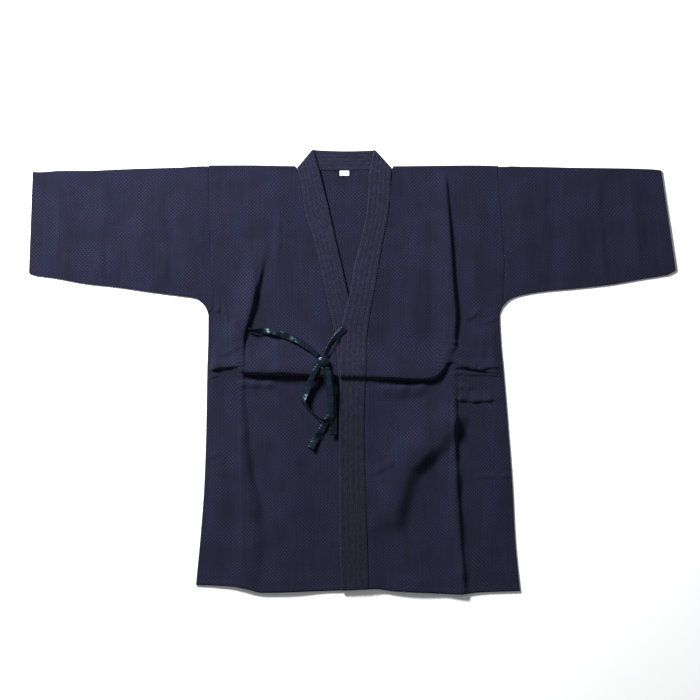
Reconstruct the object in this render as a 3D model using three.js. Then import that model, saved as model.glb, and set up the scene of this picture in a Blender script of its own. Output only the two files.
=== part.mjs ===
// A kendo jacket (keikogi) laid out flat, front up, left front over right front, tied at the wearer's right.
// Millimetres. Seen from above, +X is to the right, +Y towards the collar and +Z up from the surface
// that it lies on.
// "Right" and "left" in names are the wearer's, so the right sleeve is at -X.
import * as THREE from "three";

// Driving dimensions
const CLOTH = 1.2; // one layer of the woven cotton
const BAND = 3; // the collar band, four layers sewn together
const TAPE = 1.2; // the folded and stitched tape of the ties
const GAP = 0.3; // clearance at a seam, and under what lies on something
const LOFT = 0.8; // air between the front and the back
const LEVEL = CLOTH + LOFT; // height of a front's inner face
const HEM = -436; // height along Y at which the hem is entered in the tables
const SHOULDER = 408; // and the shoulder fold
const CHANNELS = 5; // quilted channels along the collar band
const CHANNEL_HEIGHT = 0.5;
const WAIST_LEAN = 6; // how far the waist fold rolls over towards the hem
const FOLD_RADIUS = (CLOTH + LOFT) / 2; // of a sleeve's top fold, at the middle of the cloth

// Lines that run from hem to shoulder, as X at each height Y. The creases are where the jacket was
// folded away.
const BODY_LINES = [
  { y: -436, rightSide: -312, rightCrease: -206, leftCrease: 224, leftSide: 336 },
  { y: -338, rightSide: -303.5, rightCrease: -198, leftCrease: 215, leftSide: 326.2 },
  { y: -226, rightSide: -295.3, rightCrease: -212, leftCrease: 208, leftSide: 320.4 },
  { y: -118, rightSide: -291.5, rightCrease: -220, leftCrease: 204, leftSide: 312.4 },
  { y: 0, rightSide: -289.4, rightCrease: -219, leftCrease: 204, leftSide: 302.8 },
  { y: 62, rightSide: -287.5, rightCrease: -218, leftCrease: 203, leftSide: 297.2 },
  { y: 112, rightSide: -287.2, rightCrease: -205, leftCrease: 205, leftSide: 295 },
  { y: 128, rightSide: -277, rightCrease: -200, leftCrease: 204, leftSide: 300 },
  { y: 154, rightSide: -276, rightCrease: -196, leftCrease: 201.5, leftSide: 304 },
  { y: 212, rightSide: -282, rightCrease: -184, leftCrease: 198, leftSide: 305 },
  { y: 262, rightSide: -284, rightCrease: -177, leftCrease: 195, leftSide: 302 },
  { y: 322, rightSide: -285, rightCrease: -176, leftCrease: 190.5, leftSide: 298 },
  { y: 366, rightSide: -286, rightCrease: -178, leftCrease: 187, leftSide: 294 },
  { y: 398, rightSide: -286, rightCrease: -180, leftCrease: 184, leftSide: 292 },
  { y: 408, rightSide: -286, rightCrease: -180, leftCrease: 183.5, leftSide: 292 },
];

// The same for the collar band: its under length is on the right front, its over length on the left front.
const BAND_LINES = [
  { y: -436, underSeam: -20, underEdge: 30, overEdge: -22, overSeam: 34 },
  { y: -338, underSeam: -22, underEdge: 29, overEdge: -24, overSeam: 31 },
  { y: -226, underSeam: -22, underEdge: 28, overEdge: -25, overSeam: 27 },
  { y: -118, underSeam: -22, underEdge: 27, overEdge: -26, overSeam: 25 },
  { y: 0, underSeam: -28, underEdge: 22, overEdge: -24, overSeam: 28 },
  { y: 62, underSeam: -34, underEdge: 16, overEdge: -22, overSeam: 30 },
  { y: 112, underSeam: -42, underEdge: 6, overEdge: -16, overSeam: 36 },
  { y: 128, underSeam: -46, underEdge: 0, overEdge: -11, overSeam: 39 },
  { y: 154, underSeam: -52, underEdge: -7, overEdge: -5, overSeam: 44 },
  { y: 212, underSeam: -64, underEdge: -20, overEdge: 5, overSeam: 54 },
  { y: 262, underSeam: -76, underEdge: -32, overEdge: 18, overSeam: 63 },
  { y: 322, underSeam: -95, underEdge: -45, overEdge: 30, overSeam: 74 },
  { y: 366, underSeam: -101, underEdge: -56, overEdge: 33, overSeam: 78 },
  { y: 398, underSeam: -107, underEdge: -64, overEdge: 35, overSeam: 79 },
  { y: 408, underSeam: -113, underEdge: -66, overEdge: 37, overSeam: 82 },
];

// Edges that run from side to side, as Y at each X: where the hem and the shoulder fold lie.
const HEM_LINE = [
  { x: -310, y: -426.8 },
  { x: -240, y: -430 },
  { x: -212, y: -434.5 },
  { x: -180, y: -442.2 },
  { x: -72, y: -439.4 },
  { x: 24, y: -436 },
  { x: 46, y: -434.6 },
  { x: 84, y: -439.4 },
  { x: 168, y: -443.4 },
  { x: 216, y: -445.6 },
  { x: 254, y: -442 },
  { x: 331, y: -439.2 },
];
const SHOULDER_LINE = [
  { x: -286, y: 410.2 },
  { x: -210, y: 410.4 },
  { x: -112, y: 408.8 },
  { x: 82, y: 408.6 },
  { x: 240, y: 410 },
  { x: 292, y: 409 },
];
const BACK_NECK = [
  { x: -292, y: 407 },
  { x: -113, y: 406 },
  { x: -108, y: 403 },
  { x: -15, y: 400.9 },
  { x: 78, y: 403 },
  { x: 83, y: 406 },
  { x: 300, y: 407 },
];

// The fold across the waist: the line of its crest, its height, and how wide its steep lower side is.
const WAIST = [
  { x: -310, y: 1, height: 2.5, steep: 8 },
  { x: -232, y: 14, height: 4, steep: 8 },
  { x: -212, y: 2.5, height: 9, steep: 11 },
  { x: -150, y: 2.5, height: 12, steep: 12 },
  { x: -84, y: 1.5, height: 12, steep: 13 },
  { x: -24, y: -2, height: 8, steep: 18 },
  { x: 30, y: -3, height: 8, steep: 18 },
  { x: 76, y: -4.5, height: 12, steep: 13 },
  { x: 140, y: -7, height: 13, steep: 13 },
  { x: 164, y: -4, height: 12, steep: 14 },
  { x: 178, y: 6, height: 10, steep: 14 },
  { x: 192, y: 24, height: 7, steep: 12 },
  { x: 206, y: 22, height: 4, steep: 10 },
  { x: 240, y: 8, height: 4, steep: 8 },
  { x: 310, y: -2, height: 3, steep: 8 },
];
const WAIST_HIGHEST = Math.max(...WAIST.map((row) => row.height));
const WAIST_SOFT = 78; // how far the fold's upper side reaches

// Heights of the two long creases, and the width of the steep side of each, which faces +X.
const RIGHT_CREASE = [
  { y: -436, height: 1.5, steep: 20 },
  { y: -338, height: 5, steep: 26 },
  { y: -226, height: 6, steep: 24 },
  { y: -118, height: 4, steep: 16 },
  { y: -30, height: 2.5, steep: 9 },
  { y: 6, height: 9, steep: 8 },
  { y: 62, height: 8, steep: 8 },
  { y: 112, height: 9, steep: 9 },
  { y: 154, height: 11, steep: 11 },
  { y: 190, height: 8, steep: 12 },
  { y: 226, height: 3, steep: 14 },
  { y: 262, height: 1, steep: 14 },
  { y: 408, height: 0.4, steep: 14 },
];
const LEFT_CREASE = [
  { y: -436, height: 4.5, steep: 8 },
  { y: -226, height: 5, steep: 8 },
  { y: -70, height: 4, steep: 8 },
  { y: -30, height: 1.5, steep: 9 },
  { y: 30, height: 2, steep: 9 },
  { y: 56, height: 6.5, steep: 8 },
  { y: 142, height: 6.5, steep: 8 },
  { y: 262, height: 5, steep: 7 },
  { y: 370, height: 2.5, steep: 6 },
  { y: 408, height: 0.6, steep: 6 },
];
const CREASE_SOFT = 46;

// Broad swells in the cloth: centre, half length, half width, the turn of the length from +X in degrees,
// and height.
const SWELLS = [
  { x: 118, y: -150, long: 150, wide: 44, turn: 57, height: 7 },
  { x: -120, y: 44, long: 66, wide: 26, turn: -12, height: 2.5 },
  { x: -134, y: -232, long: 150, wide: 34, turn: 96, height: 3 },
  { x: -138, y: -424, long: 70, wide: 26, turn: 0, height: 3.5 },
  { x: 130, y: -420, long: 80, wide: 30, turn: 4, height: 4 },
  { x: 128, y: 168, long: 120, wide: 34, turn: 80, height: 3.5 },
  { x: 252, y: 60, long: 40, wide: 24, turn: 30, height: 3 },
  { x: 250, y: 250, long: 110, wide: 20, turn: 88, height: 2 },
  { x: -246, y: 60, long: 60, wide: 22, turn: 62, height: 3 },
  { x: -150, y: 270, long: 120, wide: 26, turn: 94, height: 2.5 },
  { x: -262, y: -210, long: 130, wide: 22, turn: 88, height: 2.5 },
  { x: 284, y: -250, long: 130, wide: 22, turn: 92, height: 2 },
  { x: -572, y: 296, long: 96, wide: 18, turn: 90, height: 2.5 },
  { x: -424, y: 250, long: 84, wide: 26, turn: 84, height: 3 },
  { x: -330, y: 268, long: 110, wide: 28, turn: 92, height: 3 },
  { x: 566, y: 290, long: 96, wide: 18, turn: 97, height: 3 },
  { x: 440, y: 262, long: 90, wide: 34, turn: 80, height: 2.5 },
  { x: 344, y: 272, long: 110, wide: 24, turn: 96, height: 3 },
];

// Each sleeve from cuff to armhole, as the ends of lines across it: along its top fold and its underarm seam.
const RIGHT_SLEEVE = [
  { topX: -638, topY: 399, lowX: -645.5, lowY: 196 },
  { topX: -622, topY: 398.5, lowX: -630, lowY: 191.5 },
  { topX: -584, topY: 401, lowX: -592, lowY: 185.8 },
  { topX: -528, topY: 401.2, lowX: -534, lowY: 175.2 },
  { topX: -464, topY: 403.8, lowX: -470, lowY: 168 },
  { topX: -400, topY: 406, lowX: -404, lowY: 158.4 },
  { topX: -344, topY: 407.5, lowX: -344, lowY: 150.6 },
  { topX: -314, topY: 409.5, lowX: -314, lowY: 146.3 },
  { topX: -300, topY: 410, lowX: -302, lowY: 138.5 },
  { topX: -292, topY: 410, lowX: -292, lowY: 126 },
  { topX: -286, topY: 410, lowX: -287.2, lowY: 112 },
];
const LEFT_SLEEVE = [
  { topX: 617.5, topY: 402, lowX: 647, lowY: 201 },
  { topX: 600, topY: 403.8, lowX: 628, lowY: 192.3 },
  { topX: 560, topY: 405.3, lowX: 580, lowY: 184 },
  { topX: 500, topY: 406.3, lowX: 516, lowY: 173 },
  { topX: 440, topY: 407, lowX: 452, lowY: 165.6 },
  { topX: 382, topY: 408.5, lowX: 388, lowY: 159.8 },
  { topX: 342, topY: 409, lowX: 350, lowY: 154.2 },
  { topX: 318, topY: 409.8, lowX: 328, lowY: 148.8 },
  { topX: 304, topY: 409, lowX: 313, lowY: 142 },
  { topX: 297, topY: 409, lowX: 305, lowY: 134 },
  { topX: 292, topY: 409, lowX: 300, lowY: 128 },
];

// Heights at which the panels have a row of points, closest together at the waist fold.
const ROWS = [
  -436, -418, -380, -338, -290, -240, -190, -145, -105, -72, -46, -28, -18, -11, -5, 0, 6, 14, 26, 44,
  66, 90, 112, 128, 154, 182, 212, 262, 322, 366, 398, 408,
];
const BACK_ROWS = [366, 322, 262, 212, 182, 154, 128, 112, 62, 0, -118, -226, -338, -380, -418, -436];
// Rows of the back along the neck curve: how far along it the inner edge is, and how far down the side
// edge is.
const NECK_STEPS = [
  { along: 0.03, drop: 1 },
  { along: 0.06, drop: 2 },
  { along: 0.5, drop: 4.5 },
  { along: 1, drop: 7 },
];
const BACK_MIDDLE = -15; // the seam that joins the two body lengths
// Where each front has its columns of points: 0 is the side, 1 the long crease and 2 the collar band's seam.
const RIGHT_COLUMNS = [0, 0.22, 0.5, 0.76, 0.92, 1, 1.03, 1.06, 1.1, 1.18, 1.32, 1.5, 1.7, 1.88, 2];
const LEFT_COLUMNS = [0, 0.25, 0.55, 0.8, 0.92, 0.96, 1, 1.03, 1.1, 1.24, 1.4, 1.58, 1.76, 1.9, 2];

const ease = (t) => {
  const s = THREE.MathUtils.clamp(t, 0, 1);
  return s * s * (3 - 2 * s);
};
const mix = THREE.MathUtils.lerp;

// A smooth line through one column of a table, with no overshoot between its rows.
function track(rows, key, column) {
  const steps = rows.slice(1).map((r, i) => (r[column] - rows[i][column]) / (r[key] - rows[i][key]));
  const slopes = rows.map((_, i) => {
    const before = steps[i - 1] ?? steps[0];
    const after = steps[i] ?? steps[steps.length - 1];
    return before * after > 0 ? (2 * before * after) / (before + after) : 0;
  });
  return (at) => {
    const last = rows.length - 2;
    const found = rows.findIndex((r, i) => i > 0 && at <= r[key]) - 1;
    const i = found < 0 ? (at <= rows[0][key] ? 0 : last) : found;
    const span = rows[i + 1][key] - rows[i][key];
    const t = THREE.MathUtils.clamp((at - rows[i][key]) / span, 0, 1);
    const s = 1 - t;
    return (
      s * s * (1 + 2 * t) * rows[i][column] +
      t * t * (1 + 2 * s) * rows[i + 1][column] +
      s * s * t * span * slopes[i] -
      t * t * s * span * slopes[i + 1]
    );
  };
}

const line = Object.fromEntries(
  [BODY_LINES, BAND_LINES].flatMap((rows) =>
    Object.keys(rows[0])
      .filter((name) => name !== "y")
      .map((name) => [name, track(rows, "y", name)]),
  ),
);
const hemLine = track(HEM_LINE, "x", "y");
const shoulderLine = track(SHOULDER_LINE, "x", "y");
const backNeck = track(BACK_NECK, "x", "y");
const waistLine = track(WAIST, "x", "y");
const waistHeight = track(WAIST, "x", "height");
const waistSteep = track(WAIST, "x", "steep");
const crease = {
  right: { height: track(RIGHT_CREASE, "y", "height"), steep: track(RIGHT_CREASE, "y", "steep") },
  left: { height: track(LEFT_CREASE, "y", "height"), steep: track(LEFT_CREASE, "y", "steep") },
};

// A ridge's height at a distance from its crest: it falls away softly on one side and steeply on the other.
const ridge = (distance, height, soft, steep) =>
  height * (1 - ease(distance < 0 ? -distance / steep : distance / soft));

const waistFold = (x, y) => ridge(y, waistHeight(x), WAIST_SOFT, waistSteep(x));

const longCrease = (side, x, y) =>
  ridge(line[`${side}Crease`](y) - x, crease[side].height(y), CREASE_SOFT, crease[side].steep(y));

function swell(x, y) {
  return SWELLS.reduce((sum, s) => {
    const turn = THREE.MathUtils.degToRad(s.turn);
    const along = ((x - s.x) * Math.cos(turn) + (y - s.y) * Math.sin(turn)) / s.long;
    const across = ((y - s.y) * Math.cos(turn) - (x - s.x) * Math.sin(turn)) / s.wide;
    return sum + s.height * Math.exp(-(along * along + across * across));
  }, 0);
}

// How far the top layer lies above its resting level: the ridges join as one, and the swells add to them.
const rise = (x, y) => {
  const folds = [waistFold(x, y), longCrease("right", x, y), longCrease("left", x, y)];
  return Math.cbrt(folds.reduce((sum, height) => sum + height ** 3, 0)) + swell(x, y);
};

// Where a point entered at (x, y) lies: rows bend to follow the hem, the shoulder and the waist fold,
// which leans over towards the hem.
function place(x, y, z, calm = 1) {
  const atHem = 1 - ease((y - HEM) / 120);
  const atShoulder = 1 - ease((SHOULDER - y) / 80);
  const atWaist = 1 - ease(Math.abs(y) / 90);
  const lean = (WAIST_LEAN * waistFold(x, y)) / WAIST_HIGHEST;
  return new THREE.Vector3(
    x,
    y +
      atHem * (hemLine(x) - HEM) +
      atShoulder * (shoulderLine(x) - SHOULDER) +
      atWaist * waistLine(x) -
      lean * calm,
    z + rise(x, y) * calm,
  );
}

// A closed wall between two grids of points. Where it is ringed, each row of points closes on itself.
function shell(outer, inner, ringed = false) {
  const rows = outer.length;
  const columns = outer[0].length;
  const points = [...outer.flat(), ...inner.flat()];
  const at = (face, i, j) => face * rows * columns + i * columns + (j % columns);
  const index = [];
  const quad = (a, b, c, d) => index.push(a, b, c, a, c, d);
  const across = ringed ? columns : columns - 1;
  for (let i = 0; i < rows - 1; i++)
    for (let j = 0; j < across; j++) {
      quad(at(0, i, j), at(0, i, j + 1), at(0, i + 1, j + 1), at(0, i + 1, j));
      quad(at(1, i, j), at(1, i + 1, j), at(1, i + 1, j + 1), at(1, i, j + 1));
    }
  for (let j = 0; j < across; j++) {
    quad(at(0, 0, j), at(1, 0, j), at(1, 0, j + 1), at(0, 0, j + 1));
    quad(at(0, rows - 1, j), at(0, rows - 1, j + 1), at(1, rows - 1, j + 1), at(1, rows - 1, j));
  }
  if (!ringed)
    for (let i = 0; i < rows - 1; i++) {
      const end = columns - 1;
      quad(at(0, i, 0), at(0, i + 1, 0), at(1, i + 1, 0), at(1, i, 0));
      quad(at(0, i, end), at(1, i, end), at(1, i + 1, end), at(0, i + 1, end));
    }
  return facingOut(points, index);
}

// The geometry of a closed body, its faces turned outwards.
function facingOut(points, index) {
  let volume = 0;
  for (let i = 0; i < index.length; i += 3) {
    const [a, b, c] = [points[index[i]], points[index[i + 1]], points[index[i + 2]]];
    volume += a.dot(new THREE.Vector3().crossVectors(b, c));
  }
  const geometry = new THREE.BufferGeometry();
  const places = points.flatMap((p) => p.toArray());
  geometry.setAttribute("position", new THREE.Float32BufferAttribute(places, 3));
  geometry.setIndex(volume < 0 ? index.slice().reverse() : index);
  return geometry;
}

// The unit normals of a grid of points that lies flat, facing up.
function normals(grid) {
  return grid.map((row, i) =>
    row.map((_, j) => {
      const along = new THREE.Vector3().subVectors(
        grid[Math.min(i + 1, grid.length - 1)][j],
        grid[Math.max(i - 1, 0)][j],
      );
      const across = new THREE.Vector3().subVectors(
        row[Math.min(j + 1, row.length - 1)],
        row[Math.max(j - 1, 0)],
      );
      const normal = new THREE.Vector3().crossVectors(across, along).normalize();
      return normal.z < 0 ? normal.negate() : normal;
    }),
  );
}

// One body length, in one piece from the front hem over the shoulder fold to the back hem.
// Each row runs from the side to the inner edge: the band's seam in front, the back's middle seam behind.
function bodyLength(side, columns, seam, seamLevel) {
  const inward = side === "right" ? 1 : -1;
  const sideEdge = (y) => line[`${side}Side`](y) + (inward * GAP) / 2;
  const middle = line[`${side}Crease`];
  const seamEdge = (y) => seam(y) - inward * GAP;
  const frontX = (u, y) => (u <= 1 ? mix(sideEdge(y), middle(y), u) : mix(middle(y), seamEdge(y), u - 1));
  const frontInner = ROWS.map((y) =>
    columns.map((u) => {
      const x = frontX(u, y);
      const fromSide = Math.abs(x - sideEdge(y));
      const fromSeam = Math.abs(seamEdge(y) - x);
      const atShoulder = ease((SHOULDER - y) / 40);
      const sewn = ease(Math.max(fromSide / 20, ease((y - 112) / 20)));
      const nearSeam = (1 - ease(fromSeam / 40)) * atShoulder;
      const level = mix(CLOTH + GAP, mix(LEVEL, seamLevel(y) + GAP, nearSeam), sewn);
      return place(x, y, level, sewn * atShoulder);
    }),
  );
  const up = normals(frontInner);
  const last = ROWS.length - 1;
  const straightUp = new THREE.Vector3(0, 0, 1);
  const frontOuter = frontInner.map((row, i) =>
    row.map((p, j) => p.clone().addScaledVector(i === last ? straightUp : up[i][j], CLOTH)),
  );
  const fold = (radius) =>
    [45, 90, 135].map((degrees) => {
      const turn = THREE.MathUtils.degToRad(degrees);
      return frontInner[last].map(
        (p) =>
          new THREE.Vector3(p.x, p.y + radius * Math.sin(turn), CLOTH + LOFT / 2 + radius * Math.cos(turn)),
      );
    });
  const wide = seamEdge(SHOULDER) - sideEdge(SHOULDER);
  const share = frontInner[last].map((p) => (p.x - sideEdge(SHOULDER)) / wide);
  const backMiddle = BACK_MIDDLE - (inward * GAP) / 2;
  const neckRows = NECK_STEPS.map(({ along, drop }) => {
    const x = mix(seamEdge(SHOULDER), backMiddle, along);
    return share.map((f) => ({
      x: mix(sideEdge(SHOULDER), x, f),
      y: mix(shoulderLine(sideEdge(SHOULDER)) - drop, backNeck(x), f),
    }));
  });
  const lowerRows = BACK_ROWS.map((y) =>
    share.map((f) => {
      const x = mix(sideEdge(y), backMiddle, f);
      return { x, y: y + (1 - ease((y - HEM) / 120)) * (hemLine(x) - HEM) };
    }),
  );
  const back = (z) =>
    [frontInner[last], ...neckRows, ...lowerRows].map((row) =>
      row.map((p) => new THREE.Vector3(p.x, p.y, z)),
    );
  return shell(
    [...frontOuter, ...fold(LOFT / 2 + CLOTH), ...back(0)],
    [...frontInner, ...fold(LOFT / 2), ...back(CLOTH)],
  );
}

// The level of the collar band's inner face along each front, as Y goes from the hem to the neck.
const UNDER_LEVEL = [
  { y: -436, z: 1.8 },
  { y: 300, z: 1.8 },
  { y: 366, z: 2.6 },
  { y: 398, z: 3.3 },
  { y: 408, z: 3.3 },
];
const OVER_LEVEL = [
  { y: -436, z: 5.4 },
  { y: 150, z: 5.4 },
  { y: 262, z: 2 },
  { y: 322, z: 1.8 },
  { y: 366, z: 2.6 },
  { y: 398, z: 3.3 },
  { y: 408, z: 3.3 },
];
const underLevel = track(UNDER_LEVEL, "y", "z");
const overLevel = track(OVER_LEVEL, "y", "z");

// A sleeve: one ring of cloth at each line across it, flattened, open at the cuff and at the armhole.
function sleeve(lines, side, underarm) {
  const armhole = line[`${side}Side`];
  const outward = side === "right" ? -1 : 1;
  const share = (y) => (SHOULDER - y) / (SHOULDER - underarm);
  const across = ROWS.filter((y) => y >= underarm).reverse().map(share);
  const under = [SHOULDER, ...BACK_ROWS].filter((y) => y >= underarm).reverse().map(share);
  const rings = lines.map((l, i) => {
    const blend = ease((i - lines.length + 6) / 5);
    const at = (v) => {
      const curve = armhole(mix(SHOULDER, underarm, v)) - mix(armhole(SHOULDER), armhole(underarm), v);
      return new THREE.Vector2(
        mix(l.topX, l.lowX, v) + curve * blend + (outward * GAP) / 2,
        mix(l.topY, l.lowY, v),
      );
    };
    const length = l.topY - l.lowY;
    const inset = (FOLD_RADIUS + CLOTH / 2) / length;
    const middle = CLOTH / 2 + FOLD_RADIUS;
    const ring = [];
    const add = (v, offset, z) => {
      const p = at(v);
      ring.push(new THREE.Vector3(p.x, p.y + offset, z));
    };
    for (const v of across) {
      const clamped = THREE.MathUtils.clamp(v, inset, 1 - inset);
      const p = at(clamped);
      const calm = ease(Math.min(clamped, 1 - clamped) * 7);
      ring.push(new THREE.Vector3(p.x, p.y, middle + FOLD_RADIUS + swell(p.x, p.y) * calm));
    }
    add(1 - inset, -FOLD_RADIUS * Math.SQRT1_2, middle + FOLD_RADIUS * Math.SQRT1_2);
    add(1 - inset, -FOLD_RADIUS, middle);
    add(1 - inset, -FOLD_RADIUS * Math.SQRT1_2, middle - FOLD_RADIUS * Math.SQRT1_2);
    for (const v of under) add(THREE.MathUtils.clamp(v, inset, 1 - inset), 0, middle - FOLD_RADIUS);
    add(inset, FOLD_RADIUS * Math.SQRT1_2, middle - FOLD_RADIUS * Math.SQRT1_2);
    add(inset, FOLD_RADIUS, middle);
    add(inset, FOLD_RADIUS * Math.SQRT1_2, middle + FOLD_RADIUS * Math.SQRT1_2);
    return ring;
  });
  // Half the cloth lies outside the ring's middle line and half inside it.
  const offset = (amount) =>
    rings.map((ring) =>
      ring.map((p, j) => {
        const before = ring[(j + ring.length - 1) % ring.length];
        const after = ring[(j + 1) % ring.length];
        const along = new THREE.Vector2(after.y - before.y, after.z - before.z).normalize();
        return new THREE.Vector3(p.x, p.y + along.y * amount, p.z - along.x * amount);
      }),
    );
  return shell(offset(-CLOTH / 2), offset(CLOTH / 2), true);
}

// One section of the collar band: from its seam to its free edge, quilted on one face and plain on the other.
function bandSection(seam, edge, towards, channelsOut, channelsIn) {
  const outer = [];
  const inner = [];
  for (let k = 0; k <= CHANNELS * 2; k++) {
    const p = new THREE.Vector3().lerpVectors(seam, edge, k / (CHANNELS * 2));
    const crown = k % 2 ? CHANNEL_HEIGHT : 0;
    outer.push(p.clone().addScaledVector(towards, BAND - CHANNEL_HEIGHT + crown * channelsOut));
    inner.push(p.clone().addScaledVector(towards, -crown * channelsIn));
  }
  return { outer, inner };
}

// The collar band: up the right front, round the back of the neck and down the left front, in one length.
// Behind the neck its seam and its free edge sag towards the hem.
const NECK_CORNERS = {
  right: { seam: new THREE.Vector2(-108.6, 404.2), edge: new THREE.Vector2(-76.5, 442.4) },
  left: { seam: new THREE.Vector2(77, 404.8), edge: new THREE.Vector2(43.5, 441.6) },
};
const SEAM_SAG = 3;
const EDGE_SAG = 2;

function collarBand() {
  const up = new THREE.Vector3(0, 0, 1);
  const backTop = BAND - CHANNEL_HEIGHT;
  const alongFront = (seam, edge, level, inward) =>
    ROWS.filter((y) => y <= 398).map((y) =>
      bandSection(
        place(seam(y) + inward * GAP, y, level(y)),
        place(edge(y), y, level(y)),
        up,
        1,
        0,
      ),
    );
  const pivot = backTop + GAP / 2;
  const overNeck = ({ seam, edge }) => {
    const side = new THREE.Vector2().subVectors(edge, seam).normalize();
    const out = new THREE.Vector2(side.x < 0 ? side.y : -side.y, Math.abs(side.x));
    return [0, 45, 90, 135, 180].map((degrees) => {
      const turn = THREE.MathUtils.degToRad(degrees);
      const towards = new THREE.Vector3(out.x * Math.sin(turn), out.y * Math.sin(turn), Math.cos(turn));
      const from = (p) => new THREE.Vector3(p.x, p.y, pivot).addScaledVector(towards, GAP / 2);
      return bandSection(from(seam), from(edge), towards, 1 - degrees / 180, 0);
    });
  };
  const behind = [0.14, 0.32, 0.5, 0.68, 0.86].map((t) => {
    const sag = 4 * t * (1 - t);
    const seam = new THREE.Vector2().lerpVectors(NECK_CORNERS.right.seam, NECK_CORNERS.left.seam, t);
    const edge = new THREE.Vector2().lerpVectors(NECK_CORNERS.right.edge, NECK_CORNERS.left.edge, t);
    return bandSection(
      new THREE.Vector3(seam.x, seam.y - SEAM_SAG * sag, backTop),
      new THREE.Vector3(edge.x, edge.y - EDGE_SAG * sag, backTop),
      up.clone().negate(),
      0,
      1,
    );
  });
  const right = alongFront(line.underSeam, line.underEdge, underLevel, 1);
  const left = alongFront(line.overSeam, line.overEdge, overLevel, -1).reverse();
  // Halfway between the last row of a front and the neck fold, where the free edge swings out to its corner.
  const swing = (section, fold) => ({
    outer: section.outer.map((p, k) => p.clone().lerp(fold.outer[k], 0.5)),
    inner: section.inner.map((p, k) => p.clone().lerp(fold.inner[k], 0.5)),
  });
  const rightFold = overNeck(NECK_CORNERS.right);
  const leftFold = overNeck(NECK_CORNERS.left).reverse();
  const sections = [
    ...right,
    swing(right[right.length - 1], rightFold[0]),
    ...rightFold,
    ...behind,
    ...leftFold,
    swing(left[0], leftFold[leftFold.length - 1]),
    ...left,
  ];
  return shell(
    sections.map((s) => s.outer),
    sections.map((s) => s.inner),
  );
}

const PANEL_CLEAR = 0.7; // over the panel's nominal face, for its slopes
const BAND_REACH = 9; // how far beside the band a tape starts to climb onto it
const BAND_CLIMB = 7; // and over what distance

// The height of the cloth that the ties lie on: the right front, or the band of the left front over it.
// The rows there are shifted, so the row that passes under the place is found first.
function clothTop(x, y) {
  let row = y;
  for (let pass = 0; pass < 8; pass++) row = y - (place(x, row, 0).y - row);
  const panel = LEVEL + CLOTH + PANEL_CLEAR;
  const band = overLevel(row) + BAND;
  return mix(panel, band, ease((x - line.overEdge(row) + BAND_REACH) / BAND_CLIMB)) + rise(x, row);
}

// Ties: the line of each tape's middle, how far it is lifted off the cloth, how far it is turned on its
// edge, and its width.
const TIES = {
  tie_side: [
    { x: -207, y: 83.5, lift: 0.3, turn: 62, width: 12 },
    { x: -193, y: 81, lift: 0.4, turn: 56, width: 12.5 },
    { x: -180, y: 80.5, lift: 0.4, turn: 12, width: 13 },
    { x: -165, y: 80.5, lift: 1.2, turn: -24, width: 13 },
    { x: -149, y: 76.5, lift: 1.6, turn: -20, width: 13 },
    { x: -137, y: 72.5, lift: 1.6, turn: 16, width: 13 },
    { x: -122, y: 66.5, lift: 1.6, turn: -6, width: 12.5 },
    { x: -108, y: 61, lift: 1.6, turn: -26, width: 12.5 },
    { x: -94, y: 52, lift: 1.6, turn: -28, width: 12 },
    { x: -80, y: 42.5, lift: 1.6, turn: -28, width: 11 },
    { x: -67, y: 30, lift: 2, turn: -15, width: 9 },
  ],
  tie_front: [
    { x: -15, y: 86, lift: 0.4, turn: 0, width: 13 },
    { x: -28, y: 72, lift: 0.8, turn: -12, width: 13 },
    { x: -41, y: 56.5, lift: 1.6, turn: -34, width: 12 },
    { x: -49, y: 42, lift: 2, turn: -32, width: 11 },
    { x: -52.5, y: 30.4, lift: 2.4, turn: -12, width: 9 },
  ],
  tie_tail_long: [
    { x: -58, y: 8.6, lift: 0.4, turn: 0, width: 8 },
    { x: -52, y: -6, lift: 0.4, turn: 0, width: 11 },
    { x: -46, y: -34, lift: 0.4, turn: 0, width: 13 },
    { x: -43, y: -66, lift: 0.4, turn: 0, width: 13 },
    { x: -46, y: -90, lift: 0.4, turn: 0, width: 13 },
    { x: -54, y: -105, lift: 0.4, turn: 4, width: 13 },
    { x: -60, y: -116, lift: 0.6, turn: 4, width: 14 },
    { x: -65, y: -124, lift: 0.6, turn: -40, width: 13 },
    { x: -71, y: -134, lift: 0.6, turn: 4, width: 14 },
    { x: -83, y: -154, lift: 0.4, turn: 14, width: 15 },
  ],
  tie_tail_short: [
    { x: -49.4, y: 8.6, lift: 0.4, turn: 0, width: 7 },
    { x: -44, y: -6, lift: 0.4, turn: 0, width: 10 },
    { x: -40, y: -34, lift: 0.4, turn: 0, width: 12 },
    { x: -37.5, y: -66, lift: 0.4, turn: 0, width: 13 },
    { x: -37, y: -98, lift: 0.4, turn: -6, width: 15 },
    { x: -37.5, y: -127, lift: 0.4, turn: -10, width: 16 },
  ],
  tie_loop: [
    { x: -65.6, y: 13.6, lift: 0.6, turn: 0, width: 8 },
    { x: -76, y: -4, lift: 1, turn: 8, width: 11 },
    { x: -86, y: -28, lift: 1.2, turn: 16, width: 13 },
    { x: -92, y: -46, lift: 1, turn: 22, width: 13 },
    { x: -96.5, y: -60, lift: 0.8, turn: 50, width: 13 },
    { x: -88, y: -73, lift: 0.8, turn: 74, width: 13 },
    { x: -76, y: -85, lift: 1, turn: 76, width: 13 },
    { x: -62, y: -94.5, lift: 0.4, turn: 70, width: 13 },
    { x: -50, y: -98.5, lift: 0.6, turn: 48, width: 13 },
    { x: -42.5, y: -89, lift: 0.6, turn: 4, width: 13 },
    { x: -42, y: -66, lift: 0.4, turn: -20, width: 13 },
    { x: -43, y: -38, lift: 0.4, turn: -16, width: 12 },
    { x: -46, y: -10, lift: 0.4, turn: -8, width: 10 },
    { x: -49.6, y: 8, lift: 0.4, turn: 0, width: 7 },
  ],
};
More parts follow.
